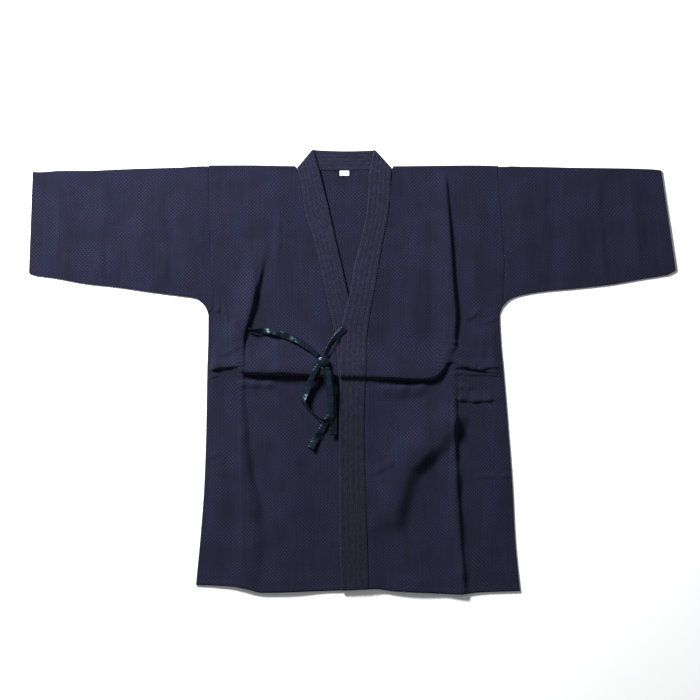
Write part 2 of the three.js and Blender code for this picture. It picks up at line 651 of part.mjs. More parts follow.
const KNOT = { x: -57, y: 20, long: 12.6, wide: 9.6, high: 5.2, turn: -35 }; // its half sizes
const TIE_STEP = 7; // distance between the sections of a tape
const TIE_MARGIN = 2.5; // beside a tape, where another that crosses it is already lifted

// The tapes laid so far, each as its sections, and the height on which a further one would lie.
const laid = [];
function restingTop(x, y) {
  let top = clothTop(x, y);
  for (const sections of laid)
    for (let i = 1; i < sections.length; i++) {
      const [a, b] = [sections[i - 1], sections[i]];
      const span = new THREE.Vector2(b.x - a.x, b.y - a.y);
      const t = THREE.MathUtils.clamp(((x - a.x) * span.x + (y - a.y) * span.y) / span.lengthSq(), 0, 1);
      const away = Math.hypot(x - mix(a.x, b.x, t), y - mix(a.y, b.y, t));
      if (away < mix(a.reach, b.reach, t) + TIE_MARGIN) top = Math.max(top, Math.max(a.top, b.top) + GAP);
    }
  return top;
}

// A tape laid along its line: it rides over what is under it, and bridges hollows as a stiff tape does.
function tape(knots) {
  const curve = new THREE.CatmullRomCurve3(knots.map((k) => new THREE.Vector3(k.x, k.y, 0)));
  const count = Math.max(4, Math.round(curve.getLength() / TIE_STEP));
  const stations = Array.from({ length: count + 1 }, (_, i) => {
    const u = i / count;
    const p = curve.getPointAt(u);
    const t = curve.getUtoTmapping(u) * (knots.length - 1);
    const k = Math.min(Math.floor(t), knots.length - 2);
    const value = (name) => mix(knots[k][name], knots[k + 1][name], t - k);
    const along = curve.getTangentAt(u);
    const turn = THREE.MathUtils.degToRad(value("turn"));
    const side = new THREE.Vector3(-along.y, along.x, 0);
    return { p, side, turn, width: value("width"), lift: value("lift") };
  });
  const floor = stations.map(({ p, side, turn, width, lift }) => {
    const reach = (width / 2) * Math.cos(turn);
    const under = [-1, -0.5, 0, 0.5, 1].map((s) => p.clone().addScaledVector(side, reach * s));
    return Math.max(...under.map((at) => restingTop(at.x, at.y))) + lift;
  });
  const height = floor.slice();
  for (let pass = 0; pass < 6; pass++)
    for (let i = 1; i < height.length - 1; i++)
      height[i] = Math.max(floor[i], (height[i - 1] + height[i + 1]) / 2);
  laid.push(
    stations.map(({ p, turn, width }, i) => ({
      x: p.x,
      y: p.y,
      reach: (width / 2) * Math.cos(turn),
      top: height[i] + width * Math.abs(Math.sin(turn)) + TAPE,
    })),
  );
  const grids = [TAPE, 0].map((above) =>
    stations.map(({ p, side, turn, width }, i) => {
      const middle = height[i] + (width / 2) * Math.abs(Math.sin(turn));
      const normal = side.clone().multiplyScalar(-Math.sin(turn)).setZ(Math.cos(turn));
      const across = side.clone().multiplyScalar(Math.cos(turn)).setZ(Math.sin(turn));
      return [-0.5, 0, 0.5].map((s) =>
        new THREE.Vector3(p.x, p.y, middle)
          .addScaledVector(across, width * s)
          .addScaledVector(normal, above),
      );
    }),
  );
  return shell(grids[0], grids[1]);
}

// The knot: the two tapes drawn tight round each other, as one rounded, flattened body.
function tieKnot() {
  const ball = new THREE.SphereGeometry(1, 16, 10);
  ball.scale(KNOT.long, KNOT.wide, KNOT.high);
  ball.rotateZ(THREE.MathUtils.degToRad(KNOT.turn));
  ball.translate(KNOT.x, KNOT.y, clothTop(KNOT.x, KNOT.y) + KNOT.high + GAP);
  return ball;
}

// The woven label under the back of the neck, blank.
const LABEL = { x: -15, y: 395.7, wide: 19, long: 10, thick: 1 };
function neckLabel() {
  const label = new THREE.BoxGeometry(LABEL.wide, LABEL.long, LABEL.thick);
  label.translate(LABEL.x, LABEL.y, CLOTH + GAP + LABEL.thick / 2);
  return label;
}

const finish = {
  cloth: new THREE.MeshStandardMaterial({ color: 0x35364d, roughness: 0.95, metalness: 0 }),
  band: new THREE.MeshStandardMaterial({ color: 0x34344a, roughness: 0.95, metalness: 0 }),
  tape: new THREE.MeshStandardMaterial({ color: 0x35464f, roughness: 0.85, metalness: 0 }),
  label: new THREE.MeshStandardMaterial({ color: 0xf2f3f6, roughness: 0.8, metalness: 0 }),
};

const jacket = new THREE.Group();
function piece(name, geometry, material) {
  const mesh = new THREE.Mesh(geometry, material);
  mesh.name = name;
  jacket.add(mesh);
}

piece("body_right", bodyLength("right", RIGHT_COLUMNS, line.underSeam, underLevel), finish.cloth);
piece("body_left", bodyLength("left", LEFT_COLUMNS, line.overSeam, overLevel), finish.cloth);
piece("sleeve_right", sleeve(RIGHT_SLEEVE, "right", 112), finish.cloth);
piece("sleeve_left", sleeve(LEFT_SLEEVE, "left", 128), finish.cloth);
piece("collar_band", collarBand(), finish.band);
for (const [name, knots] of Object.entries(TIES)) piece(name, tape(knots), finish.tape);
piece("tie_knot", tieKnot(), finish.tape);
piece("neck_label", neckLabel(), finish.label);

// The origin is the middle of the jacket's outline, on the surface it lies on.
const box = new THREE.Box3().setFromObject(jacket);
jacket.position.set(-(box.min.x + box.max.x) / 2, -(box.min.y + box.max.y) / 2, -box.min.z);

export default jacket;
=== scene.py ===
# Looks of a kendo jacket laid out flat: woven indigo cotton, a quilted collar band, tape ties in a bow, stitching,
# and a pale floor under soft light. The jacket's own sizes are in millimetres, as a tailor writes them, and they
# are turned to metres where a mesh is made. "Right" and "left" are the wearer's, so the right sleeve is at -X.
import math
from functools import cache, partial

import bmesh
import bpy
import numpy as np
from bpy.props import FloatProperty, FloatVectorProperty, PointerProperty
from bpy.types import Operator, Panel, PropertyGroup
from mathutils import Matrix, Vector


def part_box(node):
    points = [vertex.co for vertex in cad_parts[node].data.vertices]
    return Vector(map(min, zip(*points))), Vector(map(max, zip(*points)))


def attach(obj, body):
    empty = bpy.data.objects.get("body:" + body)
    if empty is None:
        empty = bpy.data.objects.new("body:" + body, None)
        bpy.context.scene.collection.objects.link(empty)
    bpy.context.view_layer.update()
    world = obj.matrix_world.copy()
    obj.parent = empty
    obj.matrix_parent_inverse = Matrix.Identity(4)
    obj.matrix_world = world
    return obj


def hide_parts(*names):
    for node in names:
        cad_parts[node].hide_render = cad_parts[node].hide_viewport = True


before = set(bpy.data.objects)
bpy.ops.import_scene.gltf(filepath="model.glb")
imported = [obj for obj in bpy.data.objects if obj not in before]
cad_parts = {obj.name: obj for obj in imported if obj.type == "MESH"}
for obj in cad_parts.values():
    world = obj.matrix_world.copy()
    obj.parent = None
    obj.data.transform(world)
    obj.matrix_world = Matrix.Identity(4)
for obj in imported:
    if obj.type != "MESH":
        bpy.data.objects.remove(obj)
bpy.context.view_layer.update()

bl_info = {
    "name": "Kendo jacket",
    "version": (1, 0, 0),
    "blender": (4, 5, 0),
    "location": "3D View > Sidebar > Kendo jacket",
    "description": "Builds the cloth, collar band, ties and stitching of a kendo jacket laid out flat",
    "category": "Add Mesh",
}

# Sizes of the cut, the same as the solids have
CLOTH = 1.2
BAND = 3.0
TAPE = 1.2
GAP = 0.3
LOFT = 0.8
LEVEL = CLOTH + LOFT
HEM = -436.0
SHOULDER = 408.0
UNDERARM = {"right": 112.0, "left": 128.0}
CHANNELS = 5
CHANNEL_HEIGHT = 0.5
WAIST_LEAN = 6.0
WAIST_SOFT = 78.0
CREASE_SOFT = 46.0
FOLD_RADIUS = (CLOTH + LOFT) / 2
BACK_MIDDLE = -15.0
LABEL = {"x": -15.0, "y": 395.7, "wide": 19.0, "long": 10.0}
PANEL_MARGIN = 0.7  # how far the ties stay over the cloth's resting level, for its lesser creases
BAND_REACH, BAND_RAMP = 9.0, 7.0  # where the ties start to climb onto the band, before its edge, and over how much
TIE_MARGIN = 2.5  # how far beside a tape the next one already lies on it
TIE_SECTION = 7.0  # the length over which a tape bends as one

# Sizes that only the finer pieces here have
SEAM = 0.05  # what stays open at a sewn seam, too little to see
HEM_DEPTH, CUFF_DEPTH = 10.0, 23.0
TURN_STEP = 1.6  # the slope at the edge of a turned-up hem
STITCH_IN = 1.5  # from a hem's turned edge to its stitches
GROOVE_WIDE, GROOVE_DEEP = 1.2, 0.35
EDGE_ROUND = 3.2
SLIT_TOP = -216
BAR_TACK_Y, BAR_TACK_COLUMNS = -176.0, 12
CHANNEL_COLUMNS = 8
PILLOW = CHANNEL_HEIGHT * 1.5
SWING_ROWS = 9
TAPE_COLUMNS = 9
FINE = {"edge": 1.0, "next": 2.4, "inner": 4.0}  # columns at a cut edge, in mm from it

VIEW_WIDTH = 1.4  # metres across the picture, on the floor
VIEW_CENTRE = (-4.0, 42.5)  # the picture's middle, in mm from the tables' origin

SEWN = {"cloth": [], "band": [], "tape": []}  # rows of stitches, as points in mm, filled in as the pieces are made
LAID = []  # the tapes laid so far


def table(names, numbers):
    """A list of dictionaries, from the names of the columns and the rows' numbers, with a comma after each row."""
    return [dict(zip(names.split(), map(float, row.split()))) for row in numbers.split(",")]


def creases(text):
    """Creases, one on each line: its name, then its height and how far it falls to its left and right, then points."""
    found = []
    for entry in text.strip().splitlines():
        _, sizes, points = entry.split(":")
        found.append((*map(float, sizes.split()), np.array([p.split() for p in points.split(",")], float)))
    return found


LINES = table("y right_side right_crease under_seam under_edge over_edge over_seam left_crease left_side", """
    -436 -312 -206 -20 30 -22 34 224 336, -338 -303.5 -198 -22 29 -24 31 215 326.2,
    -226 -295.3 -212 -22 28 -25 27 208 320.4, -118 -291.5 -220 -22 27 -26 25 204 312.4,
    0 -289.4 -219 -28 22 -24 28 204 302.8, 62 -287.5 -218 -34 16 -22 30 203 297.2,
    112 -287.2 -205 -42 6 -16 36 205 295, 128 -277 -200 -46 0 -11 39 204 300, 154 -276 -196 -52 -7 -5 44 201.5 304,
    212 -282 -184 -64 -20 5 54 198 305, 262 -284 -177 -76 -32 18 63 195 302, 322 -285 -176 -95 -45 30 74 190.5 298,
    366 -286 -178 -101 -56 33 78 187 294, 398 -286 -180 -107 -64 35 79 184 292,
    408 -286 -180 -113 -66 37 82 183.5 292
""")
HEM_LINE = table("x y", """
    -310 -426.8, -240 -430, -212 -434.5, -180 -442.2, -72 -439.4, 24 -436, 46 -434.6, 84 -439.4, 168 -443.4,
    216 -445.6, 254 -442, 331 -439.2
""")
SHOULDER_LINE = table("x y", "-286 410.2, -210 410.4, -112 408.8, 82 408.6, 240 410, 292 409")
BACK_NECK = table("x y", "-292 407, -113 406, -108 403, -15 400.9, 78 403, 83 406, 300 407")
WAIST = table("x y height steep", """
    -310 1 2.5 8, -232 14 4 8, -212 2.5 9 11, -150 2.5 12 12, -84 1.5 12 13, -24 -2 8 18, 30 -3 8 18, 76 -4.5 12 13,
    140 -7 13 13, 164 -4 12 14, 178 6 10 14, 192 24 7 12, 206 22 4 10, 240 8 4 8, 310 -2 3 8
""")
WAIST_HIGHEST = max(row["height"] for row in WAIST)
CREASES = {
    "right": table("y height steep", """
        -436 1.5 20, -338 5 26, -226 6 24, -118 4 16, -30 2.5 9, 6 9 8, 62 8 8, 112 9 9, 154 11 11, 190 8 12,
        226 3 14, 262 1 14, 408 0.4 14
    """),
    "left": table("y height steep", """
        -436 4.5 8, -226 5 8, -70 4 8, -30 1.5 9, 30 2 9, 56 6.5 8, 142 6.5 8, 262 5 7, 370 2.5 6, 408 0.6 6
    """),
}
SWELLS = table("x y long wide turn height", """
    118 -150 150 44 57 7, -120 44 66 26 -12 2.5, -134 -232 150 34 96 3, -138 -424 70 26 0 3.5, 130 -420 80 30 4 4,
    128 168 120 34 80 3.5, 252 60 40 24 30 3, 250 250 110 20 88 2, -246 60 60 22 62 3, -150 270 120 26 94 2.5,
    -262 -210 130 22 88 2.5, 284 -250 130 22 92 2, -572 296 96 18 90 2.5, -424 250 84 26 84 3, -330 268 110 28 92 3,
    566 290 96 18 97 3, 440 262 90 34 80 2.5, 344 272 110 24 96 3
""")
SLEEVES = {
    "right": table("top_x top_y low_x low_y", """
        -638 399 -645.5 196, -622 398.5 -630 191.5, -584 401 -592 185.8, -528 401.2 -534 175.2, -464 403.8 -470 168,
        -400 406 -404 158.4, -344 407.5 -344 150.6, -314 409.5 -314 146.3, -300 410 -302 138.5, -292 410 -292 126,
        -286 410 -287.2 112
    """),
    "left": table("top_x top_y low_x low_y", """
        617.5 402 647 201, 600 403.8 628 192.3, 560 405.3 580 184, 500 406.3 516 173, 440 407 452 165.6,
        382 408.5 388 159.8, 342 409 350 154.2, 318 409.8 328 148.8, 304 409 313 142, 297 409 305 134,
        292 409 300 128
    """),
}
BAND_LEVEL = {
    "under": table("y z", "-436 1.8, 300 1.8, 366 2.6, 398 3.3, 408 3.3"),
    "over": table("y z", "-436 5.4, 150 5.4, 262 2, 322 1.8, 366 2.6, 398 3.3, 408 3.3"),
}
NECK_FOLD = {
    "right": {"seam": (-108.6, 404.2), "edge": (-76.5, 442.4)},
    "left": {"seam": (77.0, 404.8), "edge": (43.5, 441.6)},
}
SEAM_SAG = 3.0
EDGE_SAG = 2.0
TIES = {
    "tie_side": table("x y lift turn width", """
        -207 83.5 0.3 62 12, -193 81 0.4 56 12.5, -180 80.5 0.4 12 13, -165 80.5 1.2 -24 13, -149 76.5 1.6 -20 13,
        -137 72.5 1.6 16 13, -122 66.5 1.6 -6 12.5, -108 61 1.6 -26 12.5, -94 52 1.6 -28 12, -80 42.5 1.6 -28 11,
        -67 30 2 -15 9
    """),
    "tie_front": table("x y lift turn width", """
        -15 86 0.4 0 13, -28 72 0.8 -12 13, -41 56.5 1.6 -34 12, -49 42 2 -32 11, -52.5 30.4 2.4 -12 9
    """),
    "tie_tail_long": table("x y lift turn width", """
        -58 8.6 0.4 0 8, -52 -6 0.4 0 11, -46 -34 0.4 0 13, -43 -66 0.4 0 13, -46 -90 0.4 0 13, -54 -105 0.4 4 13,
        -60 -116 0.6 4 14, -65 -124 0.6 -40 13, -71 -134 0.6 4 14, -83 -154 0.4 14 15
    """),
    "tie_tail_short": table("x y lift turn width", """
        -49.4 8.6 0.4 0 7, -44 -6 0.4 0 10, -40 -34 0.4 0 12, -37.5 -66 0.4 0 13, -37 -98 0.4 -6 15,
        -37.5 -127 0.4 -10 16
    """),
    "tie_loop": table("x y lift turn width", """
        -65.6 13.6 0.6 0 8, -76 -4 1 8 11, -86 -28 1.2 16 13, -92 -46 1 22 13, -96.5 -60 0.8 50 13,
        -88 -73 0.8 74 13, -76 -85 1 76 13, -62 -94.5 0.4 70 13, -50 -98.5 0.6 48 13, -42.5 -89 0.6 4 13,
        -42 -66 0.4 -20 13, -43 -38 0.4 -16 12, -46 -10 0.4 -8 10, -49.6 8 0.4 0 7
    """),
}
KNOT = {"x": -57.0, "y": 20.0, "long": 12.6, "wide": 9.6, "high": 5.2, "turn": -35.0}

# Lesser creases, finer than the solids have: a soft rise that ends in a steep step, since the cloth lies too low for
# troughs. Each crest runs through its points. left and right are how far it falls to each side, seen along it, and
# the narrow side is the steep one, which turns from the light. A minus sign makes a trough.
WRINKLES = creases("""
    right crease, foot: -2.4 5 8: -180 216, -188 196, -190 172, -189 150, -192 134, -200 116, -207 98
    right crease, shade: 1.6 14 10: -206 84, -208 60, -208 28
    under the right waist: 4.0 9 16: -232 -24, -206 -24, -180 -25, -150 -26
    under the left waist: 5.5 12 24: 48 -34, 90 -36, 128 -34, 160 -24
    right chest, upper: 1.3 7 16: -202 404, -203 330, -205 246
    right chest, outer: 0.8 6 14: -243 404, -243 330, -246 240
    right breast: 1.1 6 14: -146 310, -146 256, -150 206
    right skirt, crest: 1.2 6 4: -222 -20, -223 -130, -220 -250, -218 -340, -217 -430
    right skirt, step: 3.6 13 40: -216 -96, -216 -152, -208 -206, -194 -254, -180 -306
    right underarm, upper: 3.0 4 12: -276 150, -268 132, -264 118
    right underarm, middle: 2.8 4 10: -256 128, -249 112, -246 96
    right underarm, lower: 2.8 4 10: -240 126, -233 108, -229 88
    right side, tuck: 2.0 12 4: -288 117, -278 119, -262 121
    right side, thin: 1.5 12 3: -257 32, -242 38, -223 49
    right front, waist: 4.5 40 10: -244 8, -200 2, -150 2, -104 1
    right waist: 4.2 22 5: -292 4, -272 6, -255 7, -240 10, -220 14
    right waist, lower: 2.0 8 3: -289 -14, -278 -11, -265 -8
    right side, mark: 1.3 10 4: -290 -176, -278 -172, -268 -166
    left crease, chest: 2.2 6 22: 185 404, 188 360, 192 312, 198 238, 202 172, 207 118, 206 80, 204 52
    left crease, foot: 3.4 9 20: 207 64, 203 49, 196 38
    left chest, soft: -1.4 18 18: 120 330, 112 250, 114 170, 98 96
    left underarm, fan: 2.2 14 4: 226 101, 240 108, 256 121
    left underarm, tuck: 1.8 12 3: 262 94, 278 100, 294 108
    left waist, upper: 3.6 20 4: 195 6, 214 9, 232 9, 257 4, 275 9, 298 8
    left waist, lower: 2.4 7 3.5: 195 -6, 218 -3.5, 234 -6, 268 -6, 301 -9
    left waist, dent: -2.4 8 5: 253 19, 251 6, 255 -7
    left waist, soft: 1.6 8 14: 259 50, 258 28, 256 10
    left skirt, zigzag: 4.2 24 3.2: 203 -51, 213 -57, 228 -57.5, 243 -60, 257 -58.5, 270 -58.5, 288 -56
    left skirt, hollow: 2.2 12 10: 208 -28, 222 -31, 240 -35
    left skirt, fold, upper: 3.0 14 10: 205 -44, 204 -110, 204 -158, 207 -196
    left skirt, fold, lower: 4.4 18 17: 209 -176, 206 -240, 209 -290, 216 -340, 224 -432
    left skirt, long step: 10.5 32 60: 218 -72, 196 -112, 172 -140, 142 -166, 116 -192, 101 -225, 91 -262, 80 -330
    left skirt, smear: 2.6 14 10: 40 -204, 62 -192, 86 -180
    left skirt, press line: 1.3 12 3: 246 -212, 268 -211, 290 -212
    left side, mark: 2.2 12 3: 298 -212, 322 -212
    right cuff, press line: 1.3 4 9: -583 396, -584 320, -588 250, -592 194
    left cuff, press line: 1.3 4 9: 557 398, 559 336, 570 268, 578 196
    right sleeve, middle: 1.7 10 24: -494 392, -490 320, -502 250, -498 186
    right sleeve, upper: 1.6 10 24: -376 396, -382 320, -370 240, -378 166
    left sleeve, middle: 1.8 10 24: 496 396, 492 320, 500 250, 506 186
    left sleeve, upper: 1.7 10 24: 386 398, 382 320, 392 240, 388 170
""")
# Gentle unevenness all over, as waves: their length along X and Y, their height, and where they start.
RIPPLES = table("long_x long_y height start", """
    96 340 0.42 0.6, 61 -210 0.3 2.1, 143 118 0.36 4.0, 38 460 0.16 1.3, -52 171 0.18 5.2, 27 -390 0.08 3.3
""")


def points_at(x, y, z):
    """Points from their coordinates, spread to one shape."""
    return np.stack(np.broadcast_arrays(x, y, z), -1)


def smooth(t):
    t = np.clip(t, 0, 1)
    return t * t * (3 - 2 * t)


def mix(a, b, t):
    return a + (b - a) * t


def track(table, key, column):
    """A smooth line through one column of a table, with no overshoot between its rows."""
    keys = np.array([row[key] for row in table], float)
    values = np.array([row[column] for row in table], float)
    steps = np.diff(values) / np.diff(keys)
    before, after = np.r_[steps[:1], steps], np.r_[steps, steps[-1:]]
    same = before * after > 0
    slopes = np.where(same, 2 * before * after / np.where(same, before + after, 1), 0)

    def value(at):
        at = np.asarray(at, float)
        i = np.clip(np.searchsorted(keys, at) - 1, 0, len(keys) - 2)
        span = keys[i + 1] - keys[i]
        t = np.clip((at - keys[i]) / span, 0, 1)
        s = 1 - t
        ends = s * s * (1 + 2 * t) * values[i] + t * t * (1 + 2 * s) * values[i + 1]
        return ends + s * s * t * span * slopes[i] - t * t * s * span * slopes[i + 1]

    return value


line = {name: track(LINES, "y", name) for name in LINES[0] if name != "y"}
hem_line = track(HEM_LINE, "x", "y")
shoulder_line = track(SHOULDER_LINE, "x", "y")
back_neck = track(BACK_NECK, "x", "y")
waist = {name: track(WAIST, "x", name) for name in ("y", "height", "steep")}
crease = {
    side: {name: track(table, "y", name) for name in ("height", "steep")} for side, table in CREASES.items()
}
band_level = {side: track(table, "y", "z") for side, table in BAND_LEVEL.items()}


def ridge(distance, height, soft, steep):
    """A fold's height at a distance from its crest: soft on one side, steep on the other."""
    return height * (1 - smooth(np.where(distance < 0, -distance / steep, distance / soft)))


def waist_fold(x, y):
    return ridge(y, waist["height"](x), WAIST_SOFT, waist["steep"](x))


def long_crease(side, x, y):
    return ridge(line[side + "_crease"](y) - x, crease[side]["height"](y), CREASE_SOFT, crease[side]["steep"](y))


def swell(x, y):
    total = 0
    for s in SWELLS:
        cosine, sine = math.cos(math.radians(s["turn"])), math.sin(math.radians(s["turn"]))
        along = ((x - s["x"]) * cosine + (y - s["y"]) * sine) / s["long"]
        across = ((y - s["y"]) * cosine - (x - s["x"]) * sine) / s["wide"]
        total = total + s["height"] * np.exp(-(along * along + across * across))
    return total


def rise(x, y):
    """How far the top layer lies above its resting level in the solids."""
    folds = waist_fold(x, y) ** 3 + long_crease("right", x, y) ** 3 + long_crease("left", x, y) ** 3
    return np.cbrt(folds) + swell(x, y)


def place(x, y, z, calm=1.0):
    """Where a point entered at (x, y) lies: rows follow the hem, the shoulder and the waist fold, which leans."""
    at_hem = 1 - smooth((y - HEM) / 120)
    at_shoulder = 1 - smooth((SHOULDER - y) / 80)
    at_waist = 1 - smooth(np.abs(y) / 90)
    lean = WAIST_LEAN * waist_fold(x, y) / WAIST_HIGHEST
    moved = y + at_hem * (hem_line(x) - HEM) + at_shoulder * (shoulder_line(x) - SHOULDER)
    moved = moved + at_waist * waist["y"](x) - lean * calm
    return points_at(x, moved, z + rise(x, y) * calm)


def wrinkle(x, y):
    """The lesser creases and the gentle unevenness, as height to add at a place on the laid-out jacket."""
    total = np.zeros(np.broadcast(x, y).shape)
    for w in RIPPLES:
        wave = x / w["long_x"] + y / w["long_y"] + 0.35 * np.sin(y / 83 + w["start"]) + w["start"]
        total += w["height"] * np.sin(wave * 2)
    for height, left, right, points in WRINKLES:
        reach = max(left, right)
        low, high = points.min(0) - reach, points.max(0) + reach
        near = (x > low[0]) & (x < high[0]) & (y > low[1]) & (y < high[1])
        if not near.any():
            continue
        px, py = x[near], y[near]
        lengths = np.r_[0, np.cumsum(np.hypot(*np.diff(points, axis=0).T))]
        best, side, run = np.full(px.shape, 1e9), np.zeros(px.shape), np.zeros(px.shape)
        for (a, b), start in zip(zip(points[:-1], points[1:]), lengths):
            span = b - a
            size = np.hypot(*span)
            t = np.clip(((px - a[0]) * span[0] + (py - a[1]) * span[1]) / size**2, 0, 1)
            dx, dy = px - a[0] - t * span[0], py - a[1] - t * span[1]
            away = np.hypot(dx, dy)
            closer = away < best
            best = np.where(closer, away, best)
            side = np.where(closer, np.sign(span[0] * dy - span[1] * dx), side)
            run = np.where(closer, (start + t * size) / lengths[-1], run)
        width = np.where(side > 0, left, right)
        taper = min(0.22, 36 / lengths[-1])
        ends = smooth(run / taper) * smooth((1 - run) / taper)
        uneven = 0.8 + 0.2 * np.sin(run * 17 + lengths[-1])
        total[near] += height * (1 - smooth(best / width)) * mix(0.15, 1, ends) * uneven
    return total


# From the tables' origin to the frame's, measured on the label's solid
label_middle = sum(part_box("neck_label"), Vector()) / 2 * 1000
SHIFT = np.array([label_middle.x - LABEL["x"], label_middle.y - LABEL["y"], 0.0])


def linear(hex_colour):
    """An sRGB hex colour as the linear RGBA that Blender's shaders take."""
    parts = [int(hex_colour[i:i + 2], 16) / 255 for i in (1, 3, 5)]
    return [c / 12.92 if c <= 0.04045 else ((c + 0.055) / 1.055) ** 2.4 for c in parts] + [1.0]


def show(name, data):
    """A new object in the scene for a mesh, a lamp or a camera."""
    thing = bpy.data.objects.new(name, data)
    bpy.context.scene.collection.objects.link(thing)
    return thing


def finish_piece(piece):
    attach(piece, "root")
    return piece


def new_piece(name, points, faces, uvs, material, slot):
    """A finished piece on the object's body: points in mm, faces, and a UV in mm for each corner of each face."""
    mesh = bpy.data.meshes.new(name)
    mesh.from_pydata(((points + SHIFT) / 1000).tolist(), [], faces)
    mesh.polygons.foreach_set("use_smooth", np.ones(len(faces), bool))
    mesh.uv_layers.new(name="cloth").data.foreach_set("uv", uvs.astype(np.float32).ravel())
    mesh.materials.append(material)
    return finish_piece(show(name, mesh))


def wall(outer, inner, across, along, ringed=False):
    """Points, quads and UVs of a closed wall between two grids. Where it is ringed, each row closes on itself.

    across and along are the cloth's own measures at each grid point, with one more column if it is ringed.
    """
    count, columns = outer.shape[:2]
    points = np.concatenate([outer.reshape(-1, 3), inner.reshape(-1, 3)])
    last = columns if ringed else columns - 1
    quads, uvs = [], []

    def add(r, c, *corners):
        """A quad at each row r and column c. A corner is its grid, 0 or 1, and its steps in row and column."""
        spots = [(face, r + down, c + over) for face, down, over in corners]
        quads.append(np.stack([(face * count + i) * columns + j % columns for face, i, j in spots], -1))
        uvs.append(np.stack([np.stack([across[i, j], along[i, j]], -1) for _, i, j in spots], -2))

    i, j = (g.ravel() for g in np.meshgrid(np.arange(count - 1), np.arange(last), indexing="ij"))
    add(i, j, (0, 0, 0), (0, 0, 1), (0, 1, 1), (0, 1, 0))
    add(i, j, (1, 0, 0), (1, 1, 0), (1, 1, 1), (1, 0, 1))
    c, r = np.arange(last), np.arange(count - 1)
    add(0 * c, c, (0, 0, 0), (1, 0, 0), (1, 0, 1), (0, 0, 1))
    add(0 * c + count - 1, c, (0, 0, 0), (0, 0, 1), (1, 0, 1), (1, 0, 0))
    if not ringed:
        add(r, 0 * r, (0, 0, 0), (0, 1, 0), (1, 1, 0), (1, 0, 0))
        add(r, 0 * r + columns - 1, (0, 0, 0), (1, 0, 0), (1, 1, 0), (0, 1, 0))
    quads, uvs = np.concatenate(quads), np.concatenate(uvs)
    a, b, c, d = (points[quads[:, k]] for k in range(4))
    if (np.cross(b, c) * a).sum() + (np.cross(c, d) * a).sum() < 0:
        quads, uvs = quads[:, ::-1], uvs[:, ::-1]
    return points, quads.tolist(), uvs


def unit(vectors):
    return vectors / np.linalg.norm(vectors, axis=-1, keepdims=True)


def normals(points):
    """Unit normals of a grid of points that lies flat, facing up."""
    normal = np.cross(np.gradient(points, axis=1), np.gradient(points, axis=0))
    return unit(normal * np.where(normal[..., 2:] < 0, -1, 1))


def lengths_along(points):
    """How far along a line each of its points lies."""
    return np.r_[0, np.cumsum(np.linalg.norm(np.diff(points, axis=0), axis=1))]


def spaced(start, stop, step):
    """Evenly spaced values from start to stop, about step apart."""
    return np.linspace(start, stop, max(2, round(abs(stop - start) / step) + 1))


def tree_of(name):
    """A new material, the function that adds a node to it, and its shader."""
    material = bpy.data.materials.new(name)
    material.use_nodes = True
    return material, partial(add_node, material.node_tree), material.node_tree.nodes["Principled BSDF"]


def add_node(tree, kind, inputs=None, **settings):
    """Adds a node with its settings, and sets its inputs or links them to a socket or a node's first output."""
    node = tree.nodes.new(kind)
    for name, value in settings.items():
        setattr(node, name, value)
    for key, value in (inputs or {}).items():
        if isinstance(value, bpy.types.Node):
            value = value.outputs[0]
        if isinstance(value, bpy.types.NodeSocket):
            tree.links.new(value, node.inputs[key])
        else:
            node.inputs[key].default_value = value
    return node


MATH = "ShaderNodeMath"
VECTOR = "ShaderNodeVectorMath"
NOISE = "ShaderNodeTexNoise"
RANGE = "ShaderNodeMapRange"


def finish(add, shader, colour, value, **sockets):
    """The shader's colour, made darker or lighter by a value round 1, and its own sockets, named with underlines."""
    shaded = add(VECTOR, {0: colour, "Scale": value}, operation="SCALE")
    shader.id_data.links.new(shaded.outputs[0], shader.inputs["Base Color"])
    for name, number in sockets.items():
        shader.inputs[name.replace("_", " ")].default_value = number


def relief(add, shader, height, depth):
    """The shader's fine relief, its depth in metres."""
    bump = add("ShaderNodeBump", {"Strength": 0.6, "Distance": depth, "Height": height})
    shader.id_data.links.new(bump.outputs[0], shader.inputs["Normal"])


def yarn_paths(add, uv):
    """The cloth's own measures, with the yarns wandering by a millimetre or two, as woven yarns do."""
    wander = add(NOISE, {"Vector": uv, "Scale": 0.02, "Detail": 1.0}).outputs["Color"]
    return add(VECTOR, {0: wander, 1: (9.0, 9.0, 0.0), 2: uv}, operation="MULTIPLY_ADD")


def streaks(add, uv, across, along, detail):
    """Noise stretched over the cloth: across and along are how often it turns in 1 mm."""
    stretched = add("ShaderNodeMapping", {0: uv, 3: (across, along, 1.0)})
    return add(NOISE, {"Vector": stretched, "Scale": 1.0, "Detail": detail})


